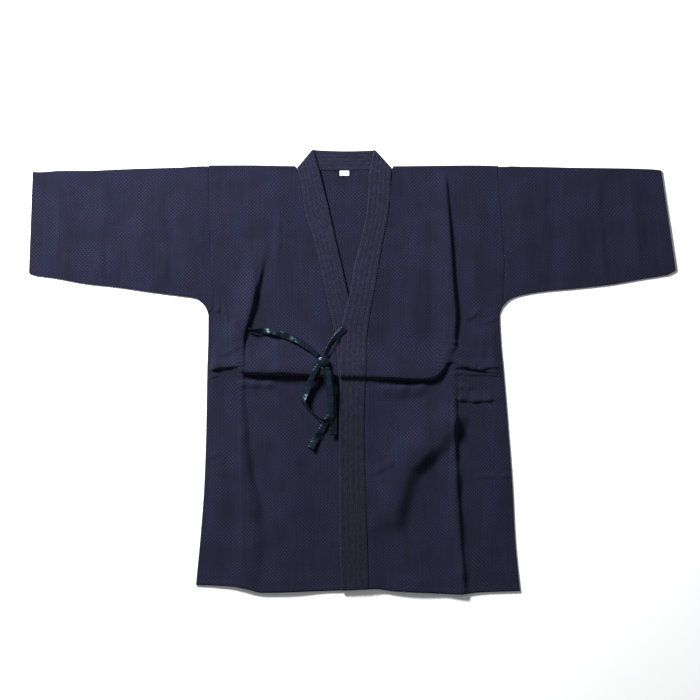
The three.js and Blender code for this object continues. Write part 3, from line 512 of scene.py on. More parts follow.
def grains(add, woven, across, along, fill):
    """Oval grains in upright columns, each half a step from the next: their height, and a number for each.

    across and along are the steps in mm, and fill is how much of its step each grain takes, both ways.
    """
    split = add("ShaderNodeSeparateXYZ", {0: woven})
    u = add(MATH, {0: split.outputs[0], 1: across}, operation="DIVIDE")
    v = add(MATH, {0: split.outputs[1], 1: along}, operation="DIVIDE")
    column = add(MATH, {0: u}, operation="FLOOR")
    odd = add(MATH, {0: column, 1: 1.0}, operation="PINGPONG")
    staggered = add(MATH, {0: odd, 1: 0.5, 2: v}, operation="MULTIPLY_ADD")
    cell = add("ShaderNodeCombineXYZ", {0: u, 1: staggered})
    within = add(VECTOR, {0: cell}, operation="FRACTION")
    from_middle = add(VECTOR, {0: within, 1: (0.5, 0.5, 0.0)}, operation="SUBTRACT")
    oval = add(VECTOR, {0: from_middle, 1: (2 / fill[0], 2 / fill[1], 0.0)}, operation="MULTIPLY")
    away = add(VECTOR, {0: oval}, operation="LENGTH").outputs["Value"]
    height = add(RANGE, {0: away, 1: 1.05, 2: 0.2}, interpolation_type="SMOOTHSTEP")
    whole = add(VECTOR, {0: cell}, operation="FLOOR")
    return height.outputs[0], add("ShaderNodeTexWhiteNoise", {"Vector": whole}).outputs["Value"]


@cache
def cloth_material(settings):
    """Indigo-dyed cotton in a rice-grain weave: upright yarns dyed unevenly, small raised grains, a dull face.

    The real grains are about 3 mm apart. They are drawn 7.2 mm apart so that they show from straight above.
    """
    material, add, shader = tree_of("indigo-dyed cotton, rice-grain weave")
    uv = add("ShaderNodeUVMap", uv_map="cloth")
    pitch = settings.grain_pitch * 1000
    height, number = grains(add, yarn_paths(add, uv), pitch / 2, pitch, (1.05, 0.58))
    # The grains stand out in patches where the cloth is stretched, and sink where it is slack.
    slack = add(NOISE, {"Vector": uv, "Scale": 0.02, "Detail": 2.0})
    shown = add(RANGE, {0: slack, 1: 0.38, 2: 0.58, 3: 0.25, 4: 1.0})
    # Single yarns are 4.5 mm wide here and dyed alike for 80 mm; bundles of them are 33 mm wide.
    yarn = streaks(add, uv, 0.22, 0.0125, 1.0)
    bundle = streaks(add, uv, 0.03, 0.004, 2.0)
    raised = add(MATH, {0: height, 1: shown}, operation="MULTIPLY")
    speckle = add(MATH, {0: number, 1: raised}, operation="MULTIPLY")
    value = add(MATH, {0: raised, 1: 1.15, 2: 0.2}, operation="MULTIPLY_ADD")
    for pattern, share in ((speckle, 0.3), (yarn, 0.5), (bundle, 0.3)):
        value = add(MATH, {0: pattern, 1: share, 2: value}, operation="MULTIPLY_ADD")
    violet, slate = list(settings.colour_violet), list(settings.colour_slate)
    hue = add(RANGE, {0: bundle, 1: 0.4, 2: 0.6})
    colour = add("ShaderNodeMix", {0: hue, 6: violet, 7: slate}, data_type="RGBA").outputs[2]
    finish(add, shader, colour, value, Roughness=0.95, Specular_IOR_Level=0.12, Sheen_Weight=0.04, Sheen_Roughness=0.6)
    relief(add, shader, raised, 0.0005)
    return material


def band_material(settings):
    """Indigo-dyed cotton twill, quilted: nubs of thicker yarn, paler than the ground and uneven in strength.

    The real nubs are about 2 mm wide. They are drawn 3.6 mm apart so that they show.
    """
    material, add, shader = tree_of("indigo-dyed cotton twill, quilted")
    uv = add("ShaderNodeUVMap", uv_map="cloth")
    height, number = grains(add, yarn_paths(add, uv), 3.6, 6.5, (0.93, 1.0))
    nub = add(MATH, {0: height, 1: number}, operation="MULTIPLY")
    wear = add(NOISE, {"Vector": uv, "Scale": 0.03, "Detail": 3.0})
    value = add(MATH, {0: wear, 1: 0.5, 2: 0.75}, operation="MULTIPLY_ADD")
    # Round the waist the band's colour is made darker downwards, to two thirds of it below.
    place_at = add("ShaderNodeTexCoord").outputs["Object"]
    up = add("ShaderNodeSeparateXYZ", {0: place_at}).outputs[1]
    darker_below = add(RANGE, {0: up, 1: -0.09, 2: 0.03, 3: 0.66, 4: 1.0})
    value = add(MATH, {0: value, 1: darker_below}, operation="MULTIPLY")
    ground, crown = list(settings.colour_ground), list(settings.colour_nub)
    colour = add("ShaderNodeMix", {0: nub, 6: ground, 7: crown}, data_type="RGBA").outputs[2]
    finish(add, shader, colour, value, Roughness=0.92, Specular_IOR_Level=0.15, Sheen_Weight=0.04, Sheen_Roughness=0.6)
    relief(add, shader, height, 0.0006)
    return material


def tape_material(settings):
    """Dyed polished cotton tape: dark, with a narrow shine where it turns to the light, and fine cross threads."""
    material, add, shader = tree_of("dyed polished cotton tape")
    uv = add("ShaderNodeUVMap", uv_map="cloth")
    # Cross threads of 0.6 mm, drawn 1.6 mm apart.
    weft = streaks(add, uv, 0.1, 0.63, 2.0)
    # The tape is crumpled by its knot: waves some 12 mm long, which break the shine up.
    crumple = streaks(add, uv, 0.06, 0.085, 2.0)
    height = add(MATH, {0: crumple, 1: 16.0, 2: weft}, operation="MULTIPLY_ADD")
    value = add(MATH, {0: weft, 1: 0.9, 2: 0.55}, operation="MULTIPLY_ADD")
    finish(
        add, shader, list(settings.colour)[:3], value,
        Roughness=0.32, Specular_IOR_Level=0.35, Specular_Tint=linear("#a9cbd6"),
    )
    relief(add, shader, height, 0.0003)
    return material


def thread_material(settings):
    """Sewing thread dyed with the cloth, a shade lighter where its twist catches the light."""
    material, add, shader = tree_of("dyed polyester sewing thread")
    place_at = add("ShaderNodeTexCoord").outputs["Object"]
    # Painted highlight: the colour is made lighter in fine diagonal bands where the twist would catch the light.
    twist = add("ShaderNodeTexWave", {"Vector": place_at, "Scale": 900.0}, bands_direction="DIAGONAL")
    value = add(MATH, {0: twist.outputs["Fac"], 1: 0.4, 2: 0.8}, operation="MULTIPLY_ADD")
    finish(add, shader, list(settings.colour)[:3], value, Roughness=0.6, Specular_IOR_Level=0.25)
    return material


def label_material():
    """Woven satin label, bare: white, smooth, with very fine cross ribs."""
    material, add, shader = tree_of("white woven satin label")
    uv = add("ShaderNodeUVMap", uv_map="cloth")
    rib = add("ShaderNodeTexWave", {"Vector": uv, "Scale": 0.8, "Distortion": 0.4}, bands_direction="Y")
    value = add(MATH, {0: rib.outputs["Fac"], 1: 0.06, 2: 0.94}, operation="MULTIPLY_ADD")
    finish(add, shader, linear("#e4e6ec")[:3], value, Roughness=0.45)
    relief(add, shader, rib.outputs["Fac"], 0.0002)
    return material


def turning(past):
    """The doubled cloth of a turned-up hem and its stitches' groove, as shares, at a distance past its edge."""
    return 1 - smooth(past / TURN_STEP + 0.5), np.exp(-((past + STITCH_IN) / GROOVE_WIDE) ** 2)


def softened(from_edge):
    """The share of its thickness that the cloth has near a cut edge."""
    return mix(0.35, 1, smooth(0.35 + from_edge / EDGE_ROUND))


def body_length(side, settings):
    """One body length's wall, in one piece from the front hem over the shoulder fold to the back hem."""
    inward, layer = (1, "under") if side == "right" else (-1, "over")
    side_line, middle, seam = line[side + "_side"], line[side + "_crease"], line[layer + "_seam"]
    step = settings.mesh_step * 1000
    # Rows are closest together at the waist fold, and columns at the edges and along the crease.
    ys = np.concatenate([
        spaced(HEM, -70, step * 1.1)[:-1], spaced(-70, 24, step * 0.5)[:-1], spaced(24, SHOULDER, step * 1.1),
    ])
    from_side, to_seam = abs(side_line(0) - middle(0)), abs(seam(0) - middle(0))
    share_side = np.concatenate([
        [0, FINE["edge"] / from_side, FINE["next"] / from_side],
        spaced(FINE["inner"] / from_side, 0.8, step / from_side), spaced(0.82, 1, 2.0 / from_side),
    ])
    share_seam = np.concatenate([
        spaced(0.012, 0.2, 2.2 / to_seam), spaced(0.215, 1 - FINE["inner"] / to_seam, step * 1.05 / to_seam),
        [1 - FINE["next"] / to_seam, 1 - FINE["edge"] / to_seam, 1],
    ])
    u = np.concatenate([share_side, 1 + share_seam])[None, :]
    y = ys[:, None]
    side_edge = side_line(y) + inward * SEAM
    seam_edge = seam(y) - inward * SEAM
    x = np.where(u <= 1, mix(side_edge, middle(y), u), mix(middle(y), seam_edge, u - 1))
    y = np.broadcast_to(y, x.shape)
    to_side, to_band = np.abs(x - side_edge), np.abs(seam_edge - x)
    at_shoulder = smooth((SHOULDER - y) / 40)
    sewn = smooth(np.maximum(to_side / 20, smooth((y - 112) / 20)))
    near_seam = (1 - smooth(to_band / 40)) * at_shoulder
    level = mix(CLOTH + GAP, mix(LEVEL, band_level[layer](y) + GAP, near_seam), sewn)
    inner = place(x, y, level, sewn * at_shoulder)
    calm = smooth(to_side / 14 + 0.1) * smooth(to_band / 10 + 0.2) * smooth((SHOULDER - y) / 26)
    loose = np.maximum(inner[..., 2] - CLOTH - GAP, 0)
    inner[..., 2] += np.maximum(wrinkle(inner[..., 0], inner[..., 1]) * calm, -loose)
    doubled, groove = turning(inner[..., 1] - hem_line(inner[..., 0]) - HEM_DEPTH)
    thick = CLOTH * softened(np.minimum(to_side, to_band)) * (1 + 0.55 * doubled) - GROOVE_DEEP * groove
    outer = inner + normals(inner) * thick[..., None]
    outer[-1] = inner[-1] + (0, 0, CLOTH)

    def fold(radius):
        turns = np.radians(np.arange(22.5, 180, 22.5))[:, None]
        fold_x, fold_y = inner[-1, :, 0], inner[-1, :, 1] + radius * np.sin(turns)
        return points_at(fold_x, fold_y, CLOTH + LOFT / 2 + radius * np.cos(turns))

    # The back, from the shoulder fold down: rows that ease from the shoulder into the neck, then even ones.
    share = (inner[-1, :, 0] - side_edge[-1]) / (seam_edge[-1] - side_edge[-1])
    back_middle = BACK_MIDDLE - inward * SEAM
    back_rows = [inner[-1, :, :2]]
    for along, drop in ((0.03, 1), (0.06, 4), (0.25, 6.5), (0.5, 7.6), (0.75, 8.3), (1, 9)):
        reach = mix(seam_edge[-1, 0], back_middle, along)
        row_x = mix(side_edge[-1, 0], reach, share)
        back_rows.append(np.stack([row_x, mix(shoulder_line(side_edge[-1, 0]) - drop, back_neck(reach), share)], -1))
    for row in spaced(388, HEM, 9.0):
        row_x = mix(side_line(row) + inward * SEAM, back_middle, share)
        at_hem = 1 - smooth((row - HEM) / 120)
        back_rows.append(np.stack([row_x, row + at_hem * (hem_line(row_x) - HEM)], -1))
    back_x, back_y = np.moveaxis(np.array(back_rows), -1, 0)
    ripple = np.clip(0.22 * wrinkle(back_x + 31, back_y + 17), -0.2, 0.3) * smooth((SHOULDER - back_y) / 40)
    outer_all = np.concatenate([outer, fold(LOFT / 2 + CLOTH), points_at(back_x, back_y, 0.0)])
    inner_all = np.concatenate([inner, fold(LOFT / 2), points_at(back_x, back_y, CLOTH + ripple)])
    across = np.concatenate([x, np.repeat(x[-1:], 7, 0), back_x])
    turn = np.broadcast_to(np.linspace(0.4, 3, 7)[:, None], (7, x.shape[1]))
    along = np.concatenate([y, SHOULDER + turn, 2 * SHOULDER + 4 - back_y])

    # Rows of stitches: along the hem, beside the band's seam, at the armhole and at the side slit
    proud = outer + normals(outer) * 0.12
    hem_row = int(np.argmin(np.abs(ys - (HEM + HEM_DEPTH - STITCH_IN))))
    arm_rows = np.flatnonzero((ys > UNDERARM[side] + 6) & (ys < SHOULDER - 6))
    slit_rows = np.flatnonzero(ys < SLIT_TOP)
    for at in ((hem_row, slice(2, -2)), (slice(3, -12), x.shape[1] - 5), (arm_rows, 3), (slit_rows, 5)):
        SEWN["cloth"].append(proud[at])
    return outer_all, inner_all, across, along


def sleeve_tube(side, settings):
    """One sleeve's wall: flattened rings of cloth from the cuff to the armhole, open at both ends."""
    table = SLEEVES[side]
    outward = -1 if side == "right" else 1
    table = [dict(row, at=abs(row["top_x"] - table[0]["top_x"]), index=i) for i, row in enumerate(table)]
    edge = {name: track(table, "at", name) for name in ("top_x", "top_y", "low_x", "low_y", "index")}
    total = table[-1]["at"]
    step = settings.mesh_step * 1000
    at = np.concatenate([
        [0, 0.8, 2.0], spaced(FINE["inner"], total - 5, step), [total - FINE["next"], total - FINE["edge"], total],
    ])[:, None]
    arm_side, underarm = line[side + "_side"], UNDERARM[side]
    inset = (FOLD_RADIUS + CLOTH / 2) / (edge["top_y"](at) - edge["low_y"](at))
    middle = CLOTH / 2 + FOLD_RADIUS
    blend = smooth((edge["index"](at) - len(table) + 6) / 5)

    def on_cloth(share):
        share = np.clip(share, inset, 1 - inset)
        row = mix(SHOULDER, underarm, share)
        curve = arm_side(row) - mix(arm_side(SHOULDER), arm_side(underarm), share)
        px = mix(edge["top_x"](at), edge["low_x"](at), share) + curve * blend + outward * SEAM
        return px, mix(edge["top_y"](at), edge["low_y"](at), share), share

    def arc(end, direction, angles):
        px, py, _ = on_cloth(np.full((1, 1), end))
        return points_at(px, py + direction * FOLD_RADIUS * np.sin(angles), middle + FOLD_RADIUS * np.cos(angles))

    # Each ring: the front from its fold to the underarm, round the seam, the back, and round the fold
    fx, fy, share = on_cloth(spaced(0, 1, step / 250)[None, :])
    from_fold = np.minimum(share, 1 - share)
    bumps = wrinkle(fx, fy) * smooth(from_fold * 12) * smooth((total - at) / 12 + 0.25)
    high = middle + FOLD_RADIUS + swell(fx, fy) * smooth(from_fold * 7)
    high = high + np.maximum(bumps, -(high - middle - FOLD_RADIUS) - 0.5)
    turns = np.radians(np.arange(30, 180, 30))[None, :]
    bx, by, _ = on_cloth(spaced(1, 0, 0.035)[None, :])
    ring = np.concatenate([
        points_at(fx, fy, high), arc(1.0, -1, turns), points_at(bx, by, middle - FOLD_RADIUS),
        arc(0.0, 1, turns[:, ::-1]),
    ], 1)
    along = unit(np.roll(ring, -1, 1)[..., 1:] - np.roll(ring, 1, 1)[..., 1:])
    out = points_at(0.0, -along[..., 1], along[..., 0])
    front_count = fx.shape[1]
    doubled, groove = turning(at - CUFF_DEPTH)
    half = CLOTH / 2 * softened(np.minimum(at, total - at))
    on_front = np.arange(ring.shape[1])[None, :] < front_count + 3
    outer = ring - out * (half + np.where(on_front, 0.5 * doubled - GROOVE_DEEP * groove, 0))[..., None]
    inner = ring + out * half[..., None]
    outer[..., 2] = np.maximum(outer[..., 2], 0)
    closed = np.concatenate([ring, ring[:, :1]], 1)
    girth = np.cumsum(np.linalg.norm(np.diff(closed, axis=1), axis=-1), 1)
    girth = np.concatenate([np.zeros((len(ring), 1)), girth], 1)
    cuff_row = int(np.argmin(np.abs(at[:, 0] - CUFF_DEPTH + STITCH_IN)))
    for row, clear in ((cuff_row, 1), (len(at) - 4, 2)):
        SEWN["cloth"].append(outer[row, clear:front_count - clear] + (0, 0, 0.15))
    return outer, inner, closed[..., 0], girth, True


def band_sections(seam, edge, towards, out_share, in_share, along):
    """The band's two faces: quilted channels on one, plainer on the other, puckered a little along the stitches."""
    across = np.linspace(0, 1, CHANNELS * CHANNEL_COLUMNS + 1)[None, :]
    base = seam[:, None] + (edge - seam)[:, None] * across[..., None]
    phase = np.where(across >= 1, 0, (across * CHANNELS) % 1)
    pillow = np.clip(1 - np.abs(2 * phase - 1) ** 2.6, 0, 1)
    number = np.minimum(np.floor(across * CHANNELS), CHANNELS - 1)
    pucker = 0.82 + 0.18 * np.sin(along[:, None] / 3.1 + number * 1.9) * np.sin(along[:, None] / 11.3 + number)
    from_edge = np.minimum(across, 1 - across) * np.linalg.norm(edge - seam, axis=-1)[:, None]
    rounded = mix(0.55, 1, smooth(0.25 + from_edge / 3))
    crown = PILLOW * pillow * pucker
    outer = base + towards[:, None] * ((BAND - PILLOW) * rounded + crown * out_share[:, None])[..., None]
    return outer, base - towards[:, None] * (crown * 0.8 * in_share[:, None])[..., None]


def collar_band(settings):
    """The collar band's wall, in one length: up the right front, round the back of the neck, down the left front."""
    step = settings.mesh_step * 1000
    up = np.array([0.0, 0.0, 1.0])
    low_face = BAND - CHANNEL_HEIGHT
    pivot = low_face + GAP / 2
    ys = np.concatenate([spaced(HEM, -40, step)[:-1], spaced(-40, 24, step * 0.55)[:-1], spaced(24, 398, step)])

    # A section is its seam, its edge, which way it faces, and how strongly its upper and its lower face are quilted.
    def on_front(layer, inward):
        level = band_level[layer](ys)
        seam = place(line[layer + "_seam"](ys) + inward * SEAM, ys, level)
        edge = place(line[layer + "_edge"](ys), ys, level)
        for points in (seam, edge):
            points[:, 2] += np.maximum(0.5 * wrinkle(points[:, 0], points[:, 1]), -0.25)
        return [(s, e, up, 1.0, 0.0) for s, e in zip(seam, edge)]

    def round_neck(fold):
        seam, edge = np.array(fold["seam"]), np.array(fold["edge"])
        run = unit(edge - seam)
        out = np.array([run[1] if run[0] < 0 else -run[1], abs(run[0])])
        found = []
        for degrees in range(0, 181, 15):
            turn = math.radians(degrees)
            towards = np.array([*(out * math.sin(turn)), math.cos(turn)])
            lift = towards * GAP / 2 + (0, 0, pivot)
            found.append((np.r_[seam, 0] + lift, np.r_[edge, 0] + lift, towards, 1 - degrees / 180, 0.0))
        return found

    def swing(start, end):
        return [
            tuple(mix(np.asarray(a), np.asarray(b), t) for a, b in zip(start, end))
            for t in np.linspace(0.1, 0.9, SWING_ROWS)
        ]

    behind = []
    right_neck, left_neck = NECK_FOLD["right"], NECK_FOLD["left"]
    for t in np.linspace(0.02, 0.98, 60):
        seam, edge = (
            mix(np.array(right_neck[name]), np.array(left_neck[name]), t) - (0, sag * (4 * t * (1 - t)))
            for name, sag in (("seam", SEAM_SAG), ("edge", EDGE_SAG))
        )
        quilted = float(smooth(min(t, 1 - t) / 0.14))
        behind.append((np.r_[seam, low_face], np.r_[edge, low_face], -up, 0.0, quilted))
    right, left = on_front("under", 1), on_front("over", -1)[::-1]
    right_fold, left_fold = round_neck(right_neck), round_neck(left_neck)[::-1]
    sections = [
        *right, *swing(right[-1], right_fold[0]), *right_fold, *behind, *left_fold, *swing(left_fold[-1], left[0]),
        *left,
    ]
    seam, edge, towards, out_share, in_share = (np.array(column, float) for column in zip(*sections))
    run = lengths_along((seam + edge) / 2)
    outer, inner = band_sections(seam, edge, towards, out_share, in_share, run)
    columns = outer.shape[1]
    across, along = np.broadcast_arrays(np.linspace(0, 50, columns)[None, :], run[:, None])

    def sew(face, rows_at, columns_at, lift):
        SEWN["band"].append(face[rows_at, columns_at] + up * lift)

    back_start = len(right) + SWING_ROWS + len(right_fold)
    back_end = back_start + len(behind)
    left_start = back_end + len(left_fold)
    on_right, on_left = slice(2, len(right) + SWING_ROWS), slice(left_start, -2)
    for column in range(CHANNEL_COLUMNS, columns - 1, CHANNEL_COLUMNS):
        sew(outer, on_right, column, 0.2)
        sew(inner, slice(back_start, back_end), column, 0.2)
        sew(outer, on_left, column, 0.2)
    tack_row = left_start + int(np.argmin(np.abs(outer[left_start:, -1, 1] - BAR_TACK_Y)))
    for row in (tack_row - 1, tack_row, tack_row + 1):
        sew(outer, row, slice(-BAR_TACK_COLUMNS, None), 0.3)
    for column in (1, columns - 3):
        sew(outer, on_right, column, 0.25)
        sew(outer, on_left, column, 0.25)
    return outer, inner, across, along


def cloth_top(x, y):
    """The height of the cloth that the ties lie on: its folds and swells, with a margin for its lesser creases."""
    row = y.copy()
    for _ in range(8):
        row = y - (place(x, row, 0.0)[..., 1] - row)
    on_band = smooth((x - line["over_edge"](row) + BAND_REACH) / BAND_RAMP)
    return mix(LEVEL + CLOTH + PANEL_MARGIN, band_level["over"](row) + BAND, on_band) + rise(x, row)


def resting_top(x, y):
    """The height on which a further tape would lie: on the cloth, or on a tape that is already there."""
    top = cloth_top(x, y)
    for laid in LAID:
        a, b = {k: v[:-1] for k, v in laid.items()}, {k: v[1:] for k, v in laid.items()}
        span_x, span_y = b["x"] - a["x"], b["y"] - a["y"]
        t = ((x[..., None] - a["x"]) * span_x + (y[..., None] - a["y"]) * span_y) / (span_x**2 + span_y**2)
        t = np.clip(t, 0, 1)
        away = np.hypot(x[..., None] - a["x"] - t * span_x, y[..., None] - a["y"] - t * span_y)
        over = away < mix(a["reach"], b["reach"], t) + TIE_MARGIN
        top = np.maximum(top, np.where(over, np.maximum(a["top"], b["top"]) + GAP, -1e9).max(-1))
    return top


def centripetal(points, per_span):
    """A centripetal Catmull-Rom curve through points, as points and as a place in the list of knots."""
    points = np.asarray(points, float)
    padded = np.concatenate([[2 * points[0] - points[1]], points, [2 * points[-1] - points[-2]]])
    found, where = [], []
    for i in range(len(points) - 1):
        p0, p1, p2, p3 = padded[i:i + 4]
        d0, d1, d2 = (np.sqrt(np.linalg.norm(b - a)) for a, b in ((p0, p1), (p1, p2), (p2, p3)))
        t1 = ((p1 - p0) / d0 - (p2 - p0) / (d0 + d1) + (p2 - p1) / d1) * d1
        t2 = ((p2 - p1) / d1 - (p3 - p1) / (d1 + d2) + (p3 - p2) / d2) * d1
        t = np.linspace(0, 1, per_span, endpoint=i == len(points) - 2)[:, None]
        starts = (2 * t**3 - 3 * t**2 + 1) * p1 + (t**3 - 2 * t**2 + t) * t1
        found.append(starts + (-2 * t**3 + 3 * t**2) * p2 + (t**3 - t**2) * t2)
        where.append(i + t[:, 0])
    return np.concatenate(found), np.concatenate(where)


def tape(knots, step):
    """A tape laid along its line: it rides over what is under it, and bridges hollows as a stiff tape does."""
    fine, where = centripetal([(k["x"], k["y"]) for k in knots], 40)
    run = lengths_along(fine)

    def stations(count):
        at = np.linspace(0, run[-1], count)
        x, y, knot = (np.interp(at, run, column) for column in (fine[:, 0], fine[:, 1], where))
        lift, turn, width = (
            np.interp(knot, np.arange(len(knots)), [row[name] for row in knots]) for name in ("lift", "turn", "width")
        )
        along = unit(np.stack([np.gradient(x), np.gradient(y)], -1))
        turn = np.radians(turn)
        stands = width / 2 * np.abs(np.sin(turn))
        return at, x, y, np.stack([-along[:, 1], along[:, 0]], -1), lift, turn, width, stands

    # How high it lies: on what is highest under each short length of it, and over hollows in a straight line
    at, x, y, beside, lift, turn, width, stands = stations(max(4, round(run[-1] / TIE_SECTION)) + 1)
    reach = width / 2 * np.cos(turn)
    offsets = np.linspace(-1, 1, 5)[None, :] * reach[:, None]
    tops = resting_top(x[:, None] + beside[:, :1] * offsets, y[:, None] + beside[:, 1:] * offsets)
    floor = tops.max(1) + lift
    height = floor.copy()
    for _ in range(6):
        for i in range(1, len(height) - 1):
            height[i] = max(floor[i], (height[i - 1] + height[i + 1]) / 2)
    LAID.append({"x": x, "y": y, "reach": reach, "top": height + 2 * stands + TAPE})

    fine_at, x, y, beside, _, turn, width, stands = stations(max(8, round(run[-1] / step)) + 1)
    base = np.interp(fine_at, at, height)
    for _ in range(3):
        base[1:-1] = (base[:-2] + 2 * base[1:-1] + base[2:]) / 4
    width, turn = width[:, None], turn[:, None]
    across = np.linspace(-0.5, 0.5, TAPE_COLUMNS)[None, :]
    cup = 0.5 * (across * 2) ** 2 * np.sin(fine_at / 23 + len(knots))[:, None]
    side_x, side_y = beside[:, :1] * np.cos(turn), beside[:, 1:] * np.cos(turn)
    spread = np.stack([side_x * across * width, side_y * across * width, np.sin(turn) * across * width], -1)
    normal = np.stack([-beside[:, :1] * np.sin(turn), -beside[:, 1:] * np.sin(turn), np.cos(turn)], -1)
    edge = np.minimum(0.5 - np.abs(across), 0.5) * width
    thick = TAPE * mix(0.45, 1, smooth(0.3 + edge / 1.4)) - 0.3 * np.exp(-((edge - 1.8) / 0.5) ** 2)
    inner = points_at(x[:, None], y[:, None], (base + stands)[:, None]) + spread + normal * (0.1 * cup[..., None])
    outer = inner + normal * thick[..., None]
    for column in (1, TAPE_COLUMNS - 2):
        SEWN["tape"].append(outer[1:-1, column] + normal[1:-1, 0] * 0.1)
    return (outer, inner, (across + 0.5) * width, np.broadcast_to(fine_at[:, None], edge.shape)), run[-1]


def knot_form():
    """The knot: the tapes drawn tight round each other, as a flattened ball with the turns of tape standing on it."""
    rings, sectors = 40, 64
    polar = np.linspace(0.02, math.pi - 0.02, rings)[:, None]
    angle = np.linspace(0, 2 * math.pi, sectors, endpoint=False)[None, :]
    ball = points_at(np.sin(polar) * np.cos(angle), np.sin(polar) * np.sin(angle), np.cos(polar))
    size = np.array([KNOT["long"], KNOT["wide"], KNOT["high"]]) - 0.7
    turns = np.zeros(ball.shape[:2])
    for axis, half, high in (
        ((0.95, 0.25, 0.1), 0.42, 1.1), ((-0.3, 0.9, 0.3), 0.34, 0.9), ((0.5, -0.6, 0.62), 0.3, 0.6),
    ):
        away = np.abs(ball @ unit(np.array(axis)))
        turns = np.maximum(turns, high * (1 - smooth((away - half) / 0.07)))
    points = ball * (size + turns[..., None] * np.array([0.9, 0.9, 1.0]))
    cosine, sine = math.cos(math.radians(KNOT["turn"])), math.sin(math.radians(KNOT["turn"]))
    x = points[..., 0] * cosine - points[..., 1] * sine + KNOT["x"]
    y = points[..., 0] * sine + points[..., 1] * cosine + KNOT["y"]
    base = float(cloth_top(np.array([KNOT["x"]]), np.array([KNOT["y"]]))[0]) + KNOT["high"] + GAP
    faces = []
    for start in range(0, (rings - 1) * sectors, sectors):
        for j in range(sectors):
            k = (j + 1) % sectors
            faces.append((start + j, start + k, start + sectors + k, start + sectors + j))
    faces += [tuple(range(sectors))[::-1], tuple(range((rings - 1) * sectors, rings * sectors))]
    return points_at(x, y, points[..., 2] + base).reshape(-1, 3), faces


def stitch_tree(name, material, sizes):
    """Geometry Nodes that lay stitches along the input's lines: small oval threads, evenly spaced."""
    tree = bpy.data.node_groups.new(name, "GeometryNodeTree")
    add = partial(add_node, tree)
    socket = tree.interface.new_socket
    socket("Geometry", in_out="INPUT", socket_type="NodeSocketGeometry")
    for label, value in sizes.items():
        made = socket(label, in_out="INPUT", socket_type="NodeSocketFloat")
        made.default_value = value
        made.subtype = "DISTANCE"
    socket("Geometry", in_out="OUTPUT", socket_type="NodeSocketGeometry")
    start = add("NodeGroupInput").outputs
    width = start["Thread Width"]
    lines = add("GeometryNodeMeshToCurve", {0: start["Geometry"]})
    points = add("GeometryNodeCurveToPoints", {"Curve": lines, "Length": start["Spacing"]}, mode="LENGTH")
    turned = add("FunctionNodeAlignRotationToVector", {"Vector": points.outputs["Tangent"]}, axis="X")
    thread = add("GeometryNodeMeshIcoSphere", {"Radius": 0.5, "Subdivisions": 1})
    scale = add("ShaderNodeCombineXYZ", {0: start["Stitch Length"], 1: width, 2: width})
    laid = add(
        "GeometryNodeInstanceOnPoints", {"Points": points, "Instance": thread, "Rotation": turned, "Scale": scale},
    )
    real = add("GeometryNodeRealizeInstances", {0: laid})
    smooth_shade = add("GeometryNodeSetShadeSmooth", {"Geometry": real})
    coloured = add("GeometryNodeSetMaterial", {"Geometry": smooth_shade, "Material": material})
    add("NodeGroupOutput", {0: coloured})
    return tree


def lay_stitches(name, lines, material, sizes):
    """A piece of stitches along lines of points in mm, made by the node tree and kept as a plain mesh."""
    mesh = bpy.data.meshes.new(name)
    points, edges = [], []
    for run in lines:
        edges.extend((len(points) + i, len(points) + i + 1) for i in range(len(run) - 1))
        points.extend(((run + SHIFT) / 1000).tolist())
    mesh.from_pydata(points, edges, [])
    guide = show(name + "_guide", mesh)
    modifier = guide.modifiers.new("stitches", "NODES")
    modifier.node_group = stitch_tree(name, material, sizes)
    for item in modifier.node_group.interface.items_tree:
        if item.in_out == "INPUT" and item.name in sizes:
            modifier[item.identifier] = sizes[item.name]
    bpy.context.view_layer.update()
    made = bpy.data.meshes.new_from_object(guide.evaluated_get(bpy.context.evaluated_depsgraph_get()))
    bpy.data.objects.remove(guide)
    return finish_piece(show(name, made))


def colour_property(name, description, hex_colour):
    return FloatVectorProperty(
        name=name, description=description, default=linear(hex_colour), size=4, subtype="COLOR", min=0, max=1,
    )


def length_property(name, description, millimetres):
    return FloatProperty(
        name=name, description=description, default=millimetres / 1000, min=0.0001, subtype="DISTANCE", unit="LENGTH",
    )


class JacketCloth(PropertyGroup):
    colour_violet: colour_property("Violet yarns", "Colour of the bundles of yarn that dyed to violet", "#19182e")
    colour_slate: colour_property("Slate yarns", "Colour of the bundles of yarn that dyed to slate", "#17192f")
    grain_pitch: length_property("Grain pitch", "Distance between the grains of the weave", 7.2)
    mesh_step: length_property("Mesh step", "Distance between the points of the cloth's mesh", 3.2)


class JacketBand(PropertyGroup):
    colour_ground: colour_property("Ground", "Colour of the band between the nubs of its twill", "#131224")
    colour_nub: colour_property("Nubs", "Colour of the nubs of thicker yarn", "#27263f")


class JacketTies(PropertyGroup):
    colour: colour_property("Tape", "Colour of the ties' tape", "#0c131c")
    mesh_step: length_property("Mesh step", "Distance between the sections of a tape", 2.2)


class JacketStitches(PropertyGroup):
    colour: colour_property("Thread", "Colour of the sewing thread", "#1e1e32")
    spacing: length_property("Spacing", "Distance from stitch to stitch", 5.0)
    length: length_property("Length", "Length of one stitch", 3.4)
    width: length_property("Thread", "Width of the thread", 0.7)


class JacketStage(PropertyGroup):
    floor_colour: colour_property("Floor", "Colour of the floor", "#fdfdfd")
    key_power: FloatProperty(
        name="Key light", description="Power of the soft light at the upper left",
        default=235.0, min=0, subtype="POWER", unit="POWER",
    )
    fill_strength: FloatProperty(
        name="Fill", description="Strength of the light from all round", default=0.25, min=0,
    )
    camera_height: length_property("Camera height", "Height of the camera over the jacket", 3000.0)


def lay(node, form, material, slot):
    """A sheet of cloth, closed as a wall, that stands for a node of the solids."""
    piece = new_piece("jacket_" + node, *wall(*form), material, slot)
    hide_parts(node)


